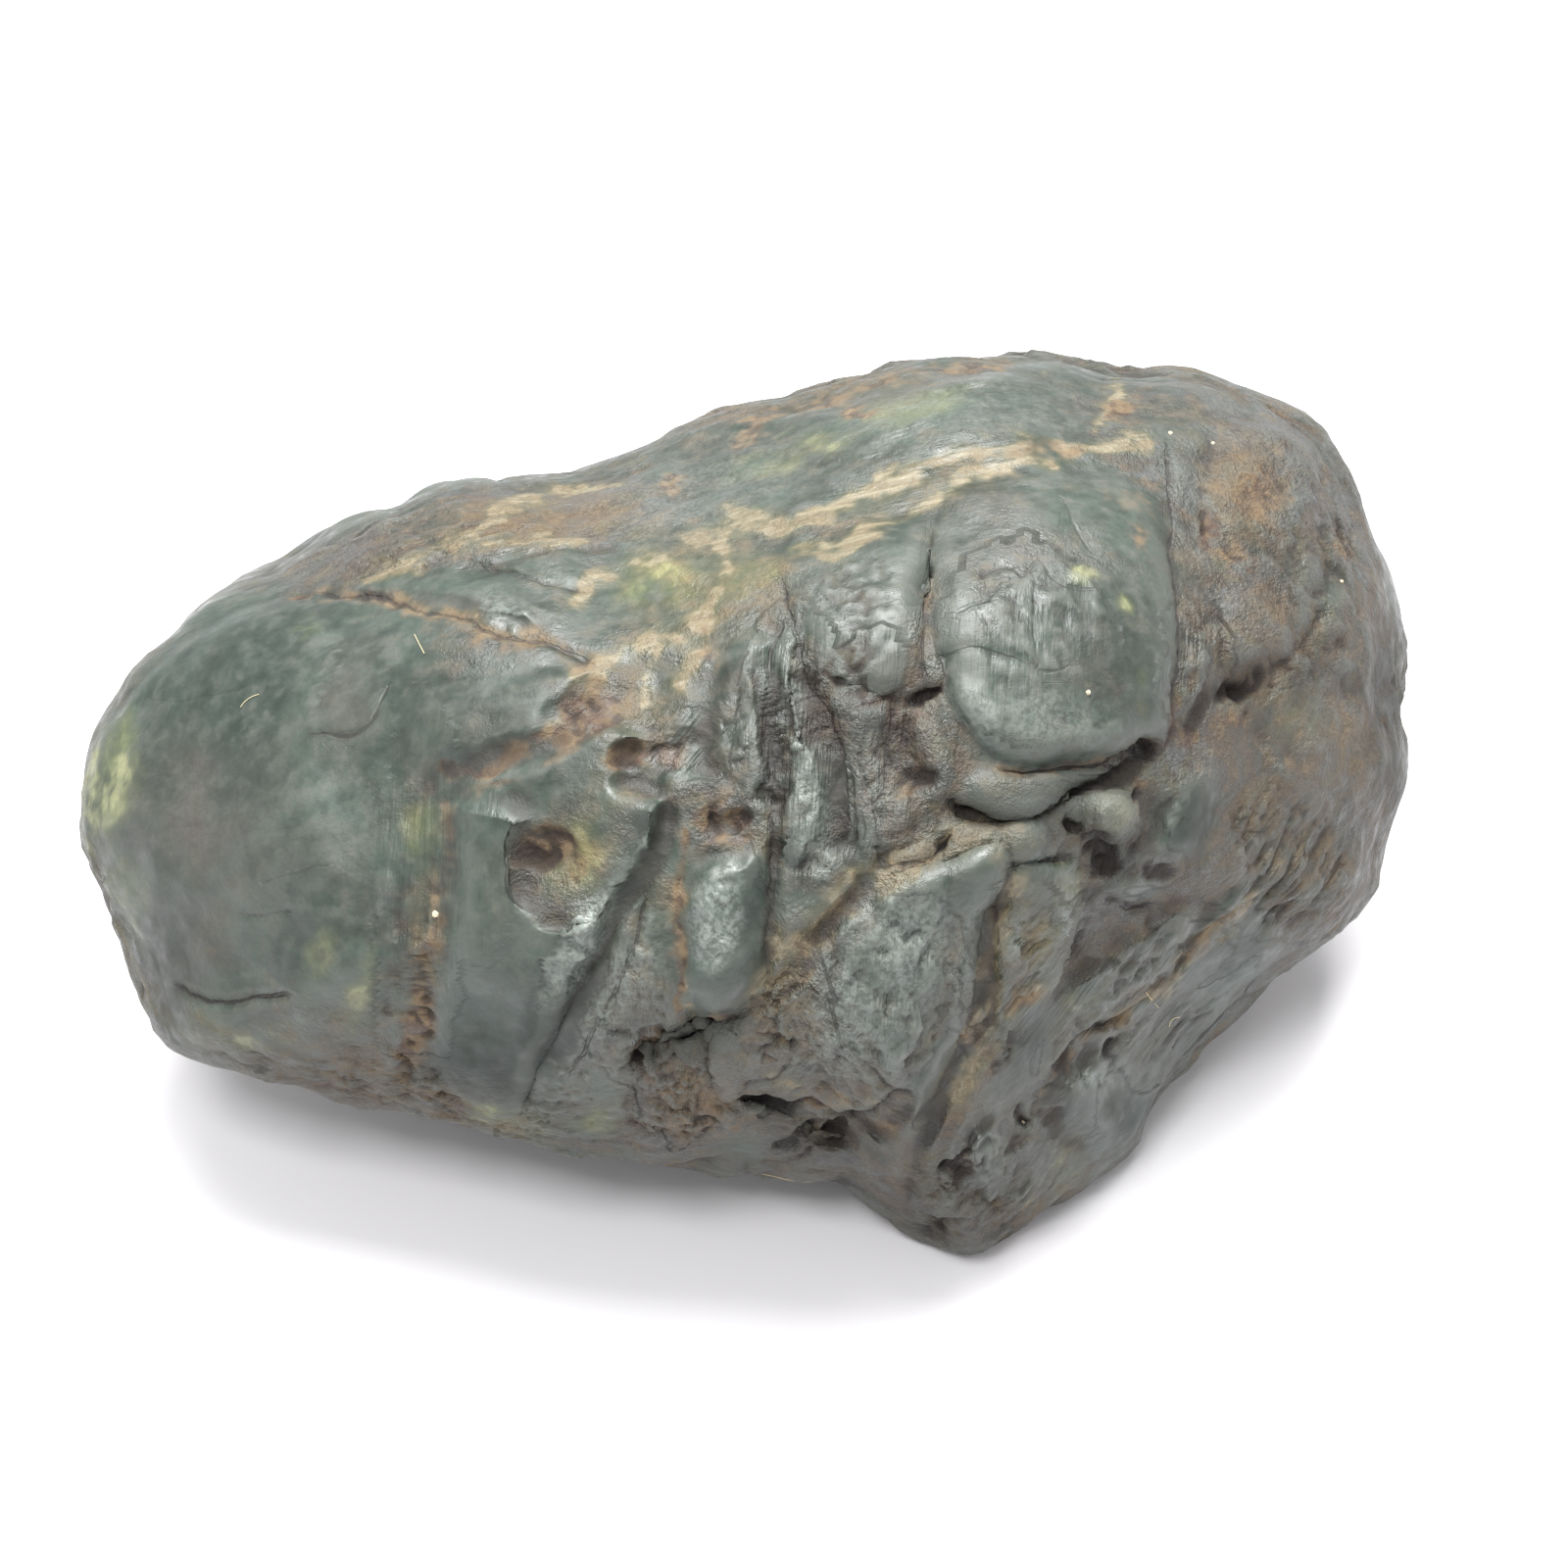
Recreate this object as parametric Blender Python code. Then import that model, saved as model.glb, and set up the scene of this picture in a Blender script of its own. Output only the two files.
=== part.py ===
"""A nephrite jade cobble: one water-worn stone that rests on a small worn flat under its heavy end.

The form is drawn on a sheet that leans back by LEAN. On the sheet s runs to the right, t runs up, and w
stands off it towards the front, all in millimetres. The lines of draw meet at an eye REACH in front of the
sheet, so the outline on the sheet is the outline that is seen from there.
"""

import itertools
import math

import bpy
import numpy as np

NAME = "cobble"
MM = 0.001

# The sheet, and the place of its middle in the stone's own frame: +X right, +Y back, +Z up, on the worn flat.
LEAN = math.radians(45)
REACH = 250.0
SHEET_MIDDLE = (2.0, -3.7, 34.8)
HEART = (-4.0, -2.0)

# The outline that is seen, as (s, t, w) from the left end round over the top.
RIM = [
    (-64.7, -3.5, 2), (-62.7, 3.9, 2), (-60.0, 10.0, 1), (-56.9, 14.2, 0), (-51.0, 18.3, -2),
    (-47.0, 20.3, -3), (-42.0, 23.4, -4), (-37.5, 25.5, -4), (-35.5, 25.4, -4), (-33.0, 27.1, -5),
    (-25.0, 28.5, -6), (-20.0, 29.1, -7), (-16.0, 30.3, -8), (-10.0, 32.9, -9), (0.0, 35.4, -10),
    (6.0, 37.2, -11), (11.0, 39.0, -12), (21.5, 39.9, -12), (26.5, 39.5, -12), (30.0, 38.5, -12),
    (38.2, 38.4, -13), (45.0, 36.6, -13), (50.0, 33.4, -13), (53.2, 28.0, -13), (55.3, 23.4, -13),
    (56.2, 22.0, -13), (57.8, 18.5, -13), (58.7, 14.5, -13), (58.0, 9.5, -13), (58.0, 2.0, -14),
    (55.2, -5.0, -15), (54.4, -9.0, -16), (49.9, -13.1, -17), (43.3, -17.8, -17), (37.9, -22.9, -15),
    (32.9, -28.9, -12), (32.0, -31.8, -10), (27.2, -35.4, -8), (22.2, -39.2, -6), (17.7, -42.1, -5),
    (11.2, -38.7, -4), (8.2, -37.0, -3), (6.5, -35.2, -2), (-0.2, -34.2, 0), (-8.8, -34.2, 1),
    (-15.6, -33.4, 1), (-21.9, -32.1, 2), (-29.8, -29.4, 2), (-35.5, -27.7, 2), (-42.8, -26.0, 2),
    (-53.0, -24.4, 2), (-57.3, -23.2, 2), (-58.6, -18.8, 2), (-61.2, -12.4, 2), (-63.4, -8.5, 2),
]

# The broad faces, each as a point on it and how w changes along s and t. The back ones give the depth behind.
FRONT_FACES = {
    "front": (0, -5, 31.0, 0.02, 0.06),
    "crown_left": (-25, 20, 28.0, 0.02, -0.70),
    "crown_right": (15, 27, 30.0, 0.20, -0.80),
    "left": (-40, 0, 28.0, 0.36, 0.04),
    "right": (38, 8, 28.5, -0.55, 0.04),
    "low_right": (33, -19, 23.5, -0.42, 0.46),
    "low_left": (-20, -24, 28.0, 0.02, 0.55),
}
BACK_FACES = {
    "back": (0, 0, 38.0, 0.02, -0.06),
    "under": (10, -20, 28.4, 0.0, 1.05),
    "under_left": (-14, -14, 34.6, 0.36, 0.90),
    "left": (-38, 5, 30.0, 0.46, -0.10),
    "right": (32, 5, 37.0, -0.30, 0.05),
    "top": (0, 16, 35.0, 0.0, -0.42),
}
FACE_BLEND = 2.2
DOME_FALL = 2.8
DOME_ROOT = 2.2

# The blocks that stand proud of the ground between them, as
# (height, shoulder, lean along s, lean along t, outline).
BLOCKS = {
    "hook": (2.9, 1.6, 0.17, 0.05, [
        (-31.6, -0.6), (-29.0, 0.2), (-26.2, 0.1), (-24.0, -1.1), (-22.3, -2.1), (-23.6, -3.6),
        (-24.2, -5.2), (-22.9, -6.3), (-23.9, -8.6), (-22.2, -11.0), (-19.6, -11.4), (-16.9, -9.8),
        (-15.2, -7.4), (-14.0, -4.8), (-13.6, -2.4), (-12.6, -0.7), (-10.8, -0.5), (-10.4, -1.8),
        (-11.8, -4.8), (-14.4, -10.0), (-17.0, -14.6), (-19.0, -18.8), (-21.6, -22.6), (-23.8, -25.6),
        (-24.8, -28.0), (-27.0, -29.0), (-30.0, -27.6), (-31.9, -24.4), (-32.8, -20.0), (-32.6, -16.8),
        (-32.0, -14.4), (-32.3, -11.0), (-31.9, -6.0)]),
    "brow": (1.5, 1.5, 0.03, 0.0, [
        (-30.6, 1.4), (-25.5, 3.3), (-21.5, 4.9), (-18.5, 6.4), (-15.5, 6.8), (-12.6, 5.4), (-14.4, 3.6),
        (-14.6, 1.0), (-17.0, -1.2), (-20.4, -2.2), (-22.8, -3.4), (-25.6, -2.4), (-28.6, -0.8)]),
    "plate": (0.8, 1.8, 0.0, -0.05, [
        (-35.0, 7.6), (-33.0, 9.5), (-29.0, 10.2), (-25.0, 11.6), (-20.0, 12.8), (-16.8, 12.8),
        (-17.6, 10.2), (-20.6, 7.8), (-21.6, 5.6), (-25.6, 3.8), (-28.2, 2.7), (-31.0, 2.1), (-33.6, 1.0),
        (-35.0, 2.6)]),
    "curl": (1.0, 1.0, 0.0, 0.0, [
        (-12.2, 0.6), (-10.6, 2.0), (-8.6, 2.9), (-7.5, 1.8), (-7.5, 0.0), (-9.0, -0.1), (-10.4, 0.2)]),
    "wedge": (0.8, 0.7, 0.07, 0.02, [
        (-8.4, -2.6), (-7.6, -5.4), (-7.4, -9.0), (-7.2, -14.0), (-8.0, -18.0), (-10.2, -20.2),
        (-12.4, -21.4), (-13.7, -24.2), (-14.3, -29.0), (-16.8, -31.8), (-20.4, -32.0), (-24.6, -30.8),
        (-25.2, -28.4), (-22.6, -23.2), (-20.0, -19.0), (-17.8, -14.8), (-15.4, -10.4), (-12.9, -5.4),
        (-11.4, -2.6)]),
    "egg": (2.9, 3.7, -0.04, 0.02, [
        (-9.8, -8.0), (-8.2, -5.0), (-5.0, -4.2), (-2.4, -3.8), (-0.4, -5.4), (0.0, -9.2), (-0.2, -12.8),
        (-1.0, -16.8), (-2.8, -19.9), (-5.2, -20.9), (-8.0, -20.3), (-9.5, -17.4), (-9.9, -14.0),
        (-10.2, -11.0)]),
    "swirl": (1.2, 1.7, 0.04, 0.0, [
        (-7.6, 3.6), (-7.6, 8.4), (-6.6, 12.0), (-4.2, 14.0), (-1.8, 14.6), (-1.3, 11.0), (-1.4, 5.0),
        (-1.4, 0.0), (-1.5, -4.6), (-3.4, -4.8), (-5.2, -1.4), (-6.6, 1.2)]),
    "pad": (0.6, 1.8, 0.0, 0.0, [
        (-12.6, 8.5), (-11.6, 11.6), (-9.0, 12.1), (-7.4, 10.6), (-7.1, 7.6), (-7.4, 5.4), (-9.5, 4.8),
        (-11.5, 6.0)]),
    "spine": (2.1, 1.5, 0.06, 0.0, [
        (0.3, 17.4), (1.0, 14.0), (1.8, 10.6), (2.8, 7.4), (3.8, 4.4), (4.6, 1.0), (4.8, -2.0),
        (4.2, -5.0), (2.4, -6.4), (-0.6, -6.8), (-0.9, -2.0), (-0.8, 4.0), (-0.6, 10.0), (-0.2, 14.4)]),
    "strand": (1.2, 0.9, 0.0, 0.0, [
        (5.0, 6.0), (6.2, 3.4), (7.0, 0.2), (7.6, -2.6), (8.8, -4.8), (8.8, -8.0), (7.4, -8.2),
        (6.0, -5.6), (5.4, -2.0), (5.0, 1.4), (4.4, 4.6)]),
    "shoulder": (1.2, 1.8, 0.05, 0.02, [
        (-0.4, 21.0), (1.4, 22.4), (5.0, 23.2), (9.0, 24.0), (13.2, 24.0), (13.2, 20.4), (12.2, 17.0),
        (11.4, 14.0), (11.0, 11.4), (9.8, 9.8), (8.0, 9.2), (6.0, 10.2), (3.4, 12.2), (1.8, 14.6),
        (0.6, 17.2)]),
    "bulge": (1.9, 1.6, 0.03, 0.0, [
        (14.6, 18.0), (13.8, 21.0), (14.6, 24.4), (17.4, 26.4), (21.6, 27.9), (26.0, 28.6), (30.6, 28.8),
        (34.4, 26.4), (35.8, 21.6), (36.4, 16.0), (36.2, 11.0), (36.4, 7.4), (35.0, 5.0), (32.4, 3.8),
        (29.6, 3.4), (26.6, 3.0), (24.0, 2.6), (21.6, 2.6), (20.0, 3.6), (18.4, 5.4), (16.8, 7.2),
        (15.6, 9.2), (15.2, 11.2), (14.4, 14.0)]),
    "lip": (0.8, 0.8, 0.0, 0.0, [
        (17.0, 1.3), (19.0, 1.9), (22.0, 1.7), (25.0, 1.7), (28.4, 1.9), (27.2, 0.9), (25.2, -0.4),
        (23.0, -1.5), (20.8, -1.8), (18.8, -1.0), (17.4, 0.2)]),
    "knob": (2.9, 1.4, 0.0, 0.0, [
        (27.6, -1.7), (28.2, 0.2), (30.2, 1.0), (32.4, 0.5), (33.2, -1.3), (32.8, -3.4), (31.2, -4.5),
        (29.2, -4.5), (27.9, -3.4)]),
    "band": (0.9, 0.7, 0.0, 0.0, [
        (-3.4, -19.4), (-2.6, -17.0), (0.0, -14.4), (3.0, -12.4), (6.0, -10.6), (7.6, -8.8), (8.8, -7.0),
        (11.0, -5.6), (13.4, -4.6), (15.6, -3.4), (19.8, -2.9), (20.4, -4.6), (19.0, -5.6), (15.6, -6.2),
        (12.0, -7.8), (9.0, -9.6), (6.6, -12.0), (3.6, -14.2), (0.4, -16.6), (-1.8, -19.0)]),
    "fan": (2.0, 1.2, 0.08, 0.0, [
        (4.0, -11.6), (8.6, -9.2), (10.0, -7.6), (13.0, -6.6), (16.0, -6.0), (19.6, -4.8), (20.4, -6.6),
        (20.2, -9.4), (18.9, -12.2), (18.5, -16.0), (18.3, -19.0), (17.4, -22.4), (16.2, -25.2),
        (14.8, -27.8), (12.8, -30.8), (10.8, -32.2), (9.8, -30.2), (10.2, -28.6), (8.4, -29.8),
        (6.8, -29.2), (5.2, -30.3), (3.4, -29.9), (1.8, -28.8), (0.2, -28.7), (-1.4, -27.4), (-3.6, -26.4),
        (-5.2, -24.8), (-4.6, -21.6), (-3.2, -19.6), (-1.2, -18.0), (1.6, -15.6)]),
    "chip": (1.4, 1.1, 0.0, 0.0, [
        (20.4, -3.4), (22.4, -2.8), (24.0, -3.6), (24.2, -5.2), (22.6, -6.2), (20.6, -5.8)]),
    "post": (1.5, 0.9, 0.06, 0.0, [
        (20.4, -6.6), (23.3, -6.2), (26.4, -6.8), (27.6, -10.3), (26.7, -14.3), (26.4, -17.6),
        (24.4, -20.8), (21.6, -22.6), (19.4, -22.0), (19.2, -18.0), (19.6, -13.0), (20.4, -10.0)]),
    "slant": (1.4, 1.0, 0.03, 0.0, [
        (23.4, -20.4), (26.4, -17.6), (29.6, -15.8), (34.0, -13.0), (37.6, -10.6), (38.6, -12.4),
        (36.0, -16.0), (32.6, -19.8), (29.0, -23.2), (26.0, -25.8), (22.8, -29.6), (20.0, -31.0),
        (18.8, -29.0), (19.6, -25.6)]),
    "fin": (1.5, 1.4, 0.0, 0.0, [
        (17.6, -26.2), (19.4, -25.0), (20.0, -27.0), (19.2, -29.6), (17.4, -31.8), (15.6, -34.2),
        (14.6, -33.4), (15.8, -30.0)]),
    "shard": (1.6, 1.2, 0.05, 0.0, [
        (16.6, -33.8), (18.0, -31.0), (20.0, -29.8), (21.0, -32.0), (20.8, -35.6), (19.2, -37.2),
        (17.2, -35.8)]),
    "toe": (1.6, 1.6, 0.0, 0.0, [
        (12.4, -37.0), (14.4, -35.4), (16.6, -36.4), (19.0, -37.6), (18.8, -39.4), (16.4, -40.2),
        (13.4, -39.4)]),
    "heel": (1.5, 1.5, 0.0, 0.0, [
        (21.4, -31.0), (23.6, -29.6), (25.2, -31.6), (27.4, -33.4), (26.8, -36.2), (23.8, -38.8),
        (21.2, -39.6), (20.4, -37.4), (21.6, -34.6)]),
    "green_end": (2.4, 2.2, -0.05, 0.04, [
        (26.6, -25.8), (28.6, -23.8), (31.0, -23.2), (32.8, -25.6), (33.8, -28.6), (33.6, -31.4),
        (32.2, -34.2), (30.0, -35.0), (27.8, -33.0), (25.6, -31.4), (25.2, -28.6)]),
    "rail": (1.7, 1.2, 0.0, 0.03, [
        (42.0, -9.2), (45.6, -12.4), (44.4, -16.8), (41.2, -21.0), (38.0, -25.2), (35.2, -29.0),
        (33.8, -30.2), (32.2, -27.4), (30.4, -24.4), (28.6, -22.6), (31.8, -19.4), (35.4, -15.8),
        (39.0, -12.0)]),
    "tongue": (1.4, 1.2, 0.08, 0.0, [
        (34.0, -4.2), (35.4, -0.6), (37.4, 2.0), (39.6, 2.4), (40.4, 0.2), (39.6, -3.0), (38.4, -5.4),
        (36.9, -7.2), (35.2, -6.4), (33.4, -5.8)]),
    "scale": (1.4, 1.5, 0.0, 0.0, [
        (30.5, -8.4), (32.0, -7.2), (34.6, -7.2), (36.4, -8.4), (35.2, -10.2), (33.4, -11.3),
        (31.5, -10.9)]),
    "slab": (0.9, 1.1, 0.08, 0.0, [
        (36.4, 17.4), (38.6, 17.6), (39.9, 15.2), (40.1, 12.2), (39.6, 9.4), (38.0, 7.2), (36.4, 5.8),
        (36.2, 10.0)]),
    "right_wedge": (1.1, 1.1, 0.04, -0.16, [
        (40.4, 16.8), (41.0, 20.8), (43.6, 22.2), (47.0, 22.8), (48.8, 21.4), (48.9, 18.0), (48.0, 15.2),
        (46.2, 12.8), (43.8, 12.0), (41.6, 11.0), (40.6, 12.6)]),
    "right_brow": (0.8, 1.6, 0.0, -0.06, [
        (40.0, 32.2), (41.4, 34.6), (45.0, 34.4), (48.2, 31.6), (50.4, 28.4), (49.2, 25.6), (47.6, 23.4),
        (44.0, 23.4), (41.2, 23.0), (39.9, 25.0), (39.8, 28.4)]),
    "right_end": (1.2, 1.4, 0.05, -0.03, [
        (45.6, 10.6), (48.0, 13.6), (50.0, 17.2), (50.6, 21.0), (53.6, 21.4), (55.2, 18.4), (55.8, 14.0),
        (55.6, 8.0), (55.4, 1.0), (53.0, -3.0), (49.6, -3.4), (46.2, -0.4), (44.4, 4.4), (43.8, 8.2)]),
    "long_lens": (0.9, 1.2, 0.0, -0.25, [
        (-41.0, 19.9), (-38.0, 21.1), (-34.0, 21.3), (-30.0, 20.9), (-26.0, 20.5), (-23.4, 19.5),
        (-22.4, 17.5), (-23.0, 15.8), (-25.0, 15.6), (-28.0, 16.4), (-31.0, 17.6), (-35.0, 18.5),
        (-38.5, 19.2)]),
    "small_lens": (0.7, 1.1, 0.0, -0.1, [
        (-27.0, 21.4), (-25.0, 22.6), (-22.0, 23.6), (-19.4, 23.2), (-18.0, 21.5), (-18.6, 19.6),
        (-21.0, 20.0), (-24.0, 20.6)]),
    "column": (1.0, 0.9, 0.0, 0.0, [
        (-12.8, -24.6), (-10.4, -22.8), (-7.6, -22.6), (-7.1, -25.2), (-6.9, -28.6), (-7.4, -32.0),
        (-9.6, -33.0), (-12.8, -32.8), (-13.8, -29.0)]),
    "drop": (1.5, 1.0, 0.0, 0.0, [
        (-6.6, -23.4), (-5.2, -22.0), (-3.8, -22.6), (-3.6, -25.4), (-4.4, -28.2), (-6.0, -28.6),
        (-6.8, -26.0)]),
    "crumb": (1.3, 1.1, 0.0, 0.0, [
        (-6.0, -28.6), (-4.6, -28.6), (-4.0, -30.2), (-4.8, -31.4), (-6.0, -31.0)]),
    "sole": (1.4, 1.2, 0.0, 0.0, [
        (-2.0, -33.4), (1.2, -32.6), (4.8, -31.6), (8.2, -32.8), (8.8, -35.4), (6.8, -36.6), (3.0, -36.2),
        (-1.0, -35.6)]),
    "saddle": (1.8, 0.6, 0.11, 0.0, [
        (-26.0, -2.6), (-22.0, 0.4), (-18.0, 1.2), (-14.2, 0.6), (-11.6, -1.2), (-13.2, -5.2),
        (-15.6, -9.4), (-18.6, -12.8), (-22.4, -13.0), (-25.4, -10.4), (-26.6, -6.0)]),
    "recess_wall": (0.9, 0.9, 0.0, 0.0, [
        (5.4, 10.4), (9.0, 8.4), (13.0, 6.8), (15.4, 4.0), (15.0, 0.0), (11.0, -3.4), (8.4, -4.8),
        (6.2, -3.6), (5.4, 0.6), (4.6, 4.6), (3.8, 8.4)]),
    "fan_ledge": (2.7, 0.9, 0.06, 0.0, [
        (8.8, -8.6), (12.6, -7.6), (15.2, -8.0), (15.8, -13.0), (15.2, -19.0), (13.6, -22.2),
        (11.8, -24.6), (10.2, -27.6), (8.6, -24.4), (6.0, -21.6), (4.4, -19.4), (5.6, -15.4), (7.0, -12.0)]),
    "egg_brow": (1.3, 0.8, 0.0, 0.0, [
        (-11.0, 0.2), (-9.0, 1.6), (-6.0, 1.8), (-3.0, 0.6), (-0.6, -1.4), (-0.4, -5.6), (-3.0, -6.0),
        (-8.0, -6.4), (-10.6, -4.4)]),
    "flake": (1.0, 0.8, 0.0, 0.0, [
        (12.2, 10.4), (12.4, 12.6), (13.4, 15.0), (14.2, 13.0), (13.8, 10.8), (13.0, 10.0)]),
    "spine_low": (1.5, 1.0, 0.05, 0.0, [
        (-0.9, -6.4), (2.4, -6.2), (5.0, -4.6), (6.4, -6.0), (7.6, -8.6), (5.4, -10.8), (2.4, -12.6),
        (-0.6, -15.4), (-1.0, -11.0)]),
}

# The clefts and creases between them: (half width, depth, route).
CLEFTS = {
    "under_hook": (0.8, 0.9, [
        (-10.2, -0.8), (-11.2, -3.4), (-13.2, -7.4), (-15.6, -11.8), (-18.0, -16.2), (-20.6, -20.8),
        (-23.2, -24.6), (-24.6, -28.2)]),
    "under_egg": (1.3, 2.3, [(-13.4, -25.0), (-11.8, -22.2), (-8.6, -20.6), (-5.2, -20.4), (-2.6, -19.0)]),
    "fan_side": (0.5, 0.5, [
        (20.3, -5.4), (20.4, -9.0), (19.1, -12.4), (18.8, -17.0), (18.4, -20.4), (16.8, -25.0),
        (15.2, -27.8)]),
    "under_lip": (0.7, 1.9, [
        (15.0, -1.0), (17.0, -2.0), (20.0, -2.5), (23.0, -2.0), (25.4, -0.9), (28.0, 0.6), (30.6, 1.9),
        (33.6, 3.0)]),
    "right_slant": (0.8, 1.1, [
        (36.0, 4.6), (38.8, 7.8), (41.4, 10.2), (44.6, 11.0), (47.6, 13.8), (49.4, 17.6), (50.0, 21.6)]),
    "rust_slot": (0.9, 1.2, [(39.2, 33.4), (38.9, 30.0), (38.1, 27.2), (37.6, 24.4), (38.8, 22.6)]),
    "under_fan": (0.6, 1.2, [
        (-4.2, -27.6), (-2.0, -28.2), (0.2, -29.4), (3.0, -30.8), (5.6, -30.9), (8.0, -30.4),
        (10.0, -31.6)]),
    "shoulder_side": (0.8, 0.8, [(13.2, 20.0), (13.4, 17.6), (13.6, 15.0), (13.5, 11.8), (14.4, 8.6)]),
    "left_hem": (1.1, 0.8, [(-62.8, -9.4), (-60.8, -12.0), (-59.6, -15.0), (-59.2, -18.6), (-58.4, -21.4)]),
    "bottom_ledge": (0.9, 1.0, [
        (-45.0, -25.4), (-42.0, -26.8), (-38.0, -26.6), (-35.0, -28.2), (-31.4, -30.2), (-26.6, -31.2),
        (-22.0, -32.2)]),
    "fan_slot": (1.1, 1.8, [(14.9, -27.4), (13.4, -30.4), (12.2, -32.6), (11.6, -35.2), (11.2, -37.6)]),
    "sole_crack": (0.6, 0.8, [(-0.6, -32.9), (1.6, -31.8), (3.6, -31.6), (6.4, -32.2)]),
    "sole_low": (0.6, 0.7, [(1.6, -36.0), (4.0, -35.4), (6.6, -35.7), (7.0, -37.0)]),
}

# Pits, holes and broad hollows, as (s, t, reach along, reach across, turn in degrees, depth).
# A lump is a depth below 0.
HOLLOWS = {
    "recess": (10.6, 3.4, 4.2, 7.0, 8, 1.7),
    "recess_hole": (13.0, 8.9, 2.0, 0.8, 14, 1.0),
    "knob_hole": (29.4, -6.2, 2.4, 1.2, -14, 1.5),
    "knob_side": (26.6, -3.3, 1.0, 1.3, 0, 1.2),
    "slant_hole": (42.4, 9.4, 2.0, 1.0, 20, 1.2),
    "pebble_pit": (50.6, 24.0, 2.6, 2.1, 0, 2.2),
    "pebble": (51.4, 24.6, 1.6, 1.3, 0, -1.9),
    "green_pocket": (51.6, 10.0, 2.8, 2.0, -30, 1.2),
    "left_dip": (-40.0, 12.0, 7.0, 6.0, 40, 0.8),
    "left_belly": (-50.0, -6.0, 12.0, 14.0, 0, -1.4),
    "top_swell": (20.0, 35.0, 18.0, 7.0, 8, -1.6),
    "top_dip": (-6.0, 27.0, 9.0, 5.0, 20, 0.9),
    "veil": (-14.0, 9.0, 7.0, 5.0, 30, 0.8),
    "valley": (-35.0, -6.0, 4.0, 24.0, 0, 0.7),
    "knob_top": (33.3, -0.5, 1.1, 0.7, 10, 0.7),
    "band_slot": (14.9, -4.7, 1.9, 0.6, 38, 0.7),
    "saddle_pit": (-22.2, -5.3, 2.4, 1.6, 38, 0.6),
    "brow_pit": (-14.6, 3.6, 1.6, 1.6, 0, 0.7),
    "curl_pit": (-11.2, 3.8, 1.4, 1.0, 0, 0.4),
    "egg_pit": (-5.6, -2.6, 3.0, 1.5, 22, 0.7),
}

# The cells of the skin where no block is drawn, and the broad unevenness of the whole stone.
CELL_STRETCH = (0.62, 1.1, 1.0)
CELL_BEND = (14.0, 5.0)
CELLS = [(30, 2.4, 5.0, 41), (120, 0.8, 2.2, 57)]
UNEVEN = [(34.0, 1.8, 3), (15.0, 0.9, 5), (6.5, 0.42, 8)]
WANDER = [(7.0, 0.9, 11), (2.6, 0.45, 13)]

WORN_ROUNDS = 2
REST_ROUNDING = 2.2
REST_FLAT = 0.02
SPHERE_STEPS = 8
FACE_TARGET = 9200

CURVE_STEPS = 6
RIM_STEPS = 720
RIM_SOFTNESS = 0.9


def noise(points, seed):
    """Smooth lattice noise at each row of points, roughly from -1 to 1."""
    rng = np.random.default_rng(seed)
    table = rng.permutation(256)
    slopes = rng.normal(size=(256, 3))
    slopes /= np.linalg.norm(slopes, axis=1, keepdims=True)
    cell = np.floor(points).astype(int)
    inside = points - cell
    ease = inside**3 * (inside * (inside * 6 - 15) + 10)
    total = np.zeros(len(points))
    for corner in itertools.product((0, 1), repeat=3):
        column, row, layer = ((cell + corner) & 255).T
        slope = slopes[table[(table[(table[column] + row) & 255] + layer) & 255]]
        weight = np.where(corner, ease, 1 - ease).prod(axis=1)
        total += weight * ((inside - corner) * slope).sum(axis=1)
    return total * 1.6


def curve_through(points, closed):
    """Points along a smooth curve through the given ones."""
    points = np.array(points, float)
    if closed:
        before, after = np.roll(points, 1, axis=0), np.roll(points, -1, axis=0)
        beyond = np.roll(points, -2, axis=0)
    else:
        ends = np.vstack([2 * points[0] - points[1], points, 2 * points[-1] - points[-2]])
        before, points, after, beyond = ends[:-3], ends[1:-2], ends[2:-1], ends[3:]
    pieces = []
    for x in np.arange(CURVE_STEPS) / CURVE_STEPS:
        pull = (after - before) * x + (2 * before - 5 * points + 4 * after - beyond) * x * x
        pieces.append(points + 0.5 * (pull + (3 * points - before - 3 * after + beyond) * x**3))
    curve = np.stack(pieces, axis=1).reshape(-1, points.shape[1])
    return curve if closed else np.vstack([curve, after[-1]])


def distance_to(curve, s, t, closed):
    """How far each place is from the curve, and whether it is inside it."""
    spot = np.stack([s, t], axis=1)
    ends = np.roll(curve, -1, axis=0) if closed else curve[1:]
    starts = curve if closed else curve[:-1]
    nearest = np.full(len(s), np.inf)
    inside = np.zeros(len(s), bool)
    for start, end in zip(starts, ends):
        run = end - start
        share = np.clip((spot - start) @ run / max(run @ run, 1e-9), 0, 1)
        nearest = np.minimum(nearest, np.hypot(*(spot - start - share[:, None] * run).T))
        if closed and start[1] != end[1]:
            crosses = (start[1] > t) != (end[1] > t)
            inside ^= crosses & (s < start[0] + (t - start[1]) * run[0] / run[1])
    return nearest, inside


def near(curve, s, t, margin):
    """The places that a drawn shape can reach."""
    low, high = curve.min(axis=0) - margin, curve.max(axis=0) + margin
    return np.flatnonzero((s > low[0]) & (s < high[0]) & (t > low[1]) & (t < high[1]))


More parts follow.
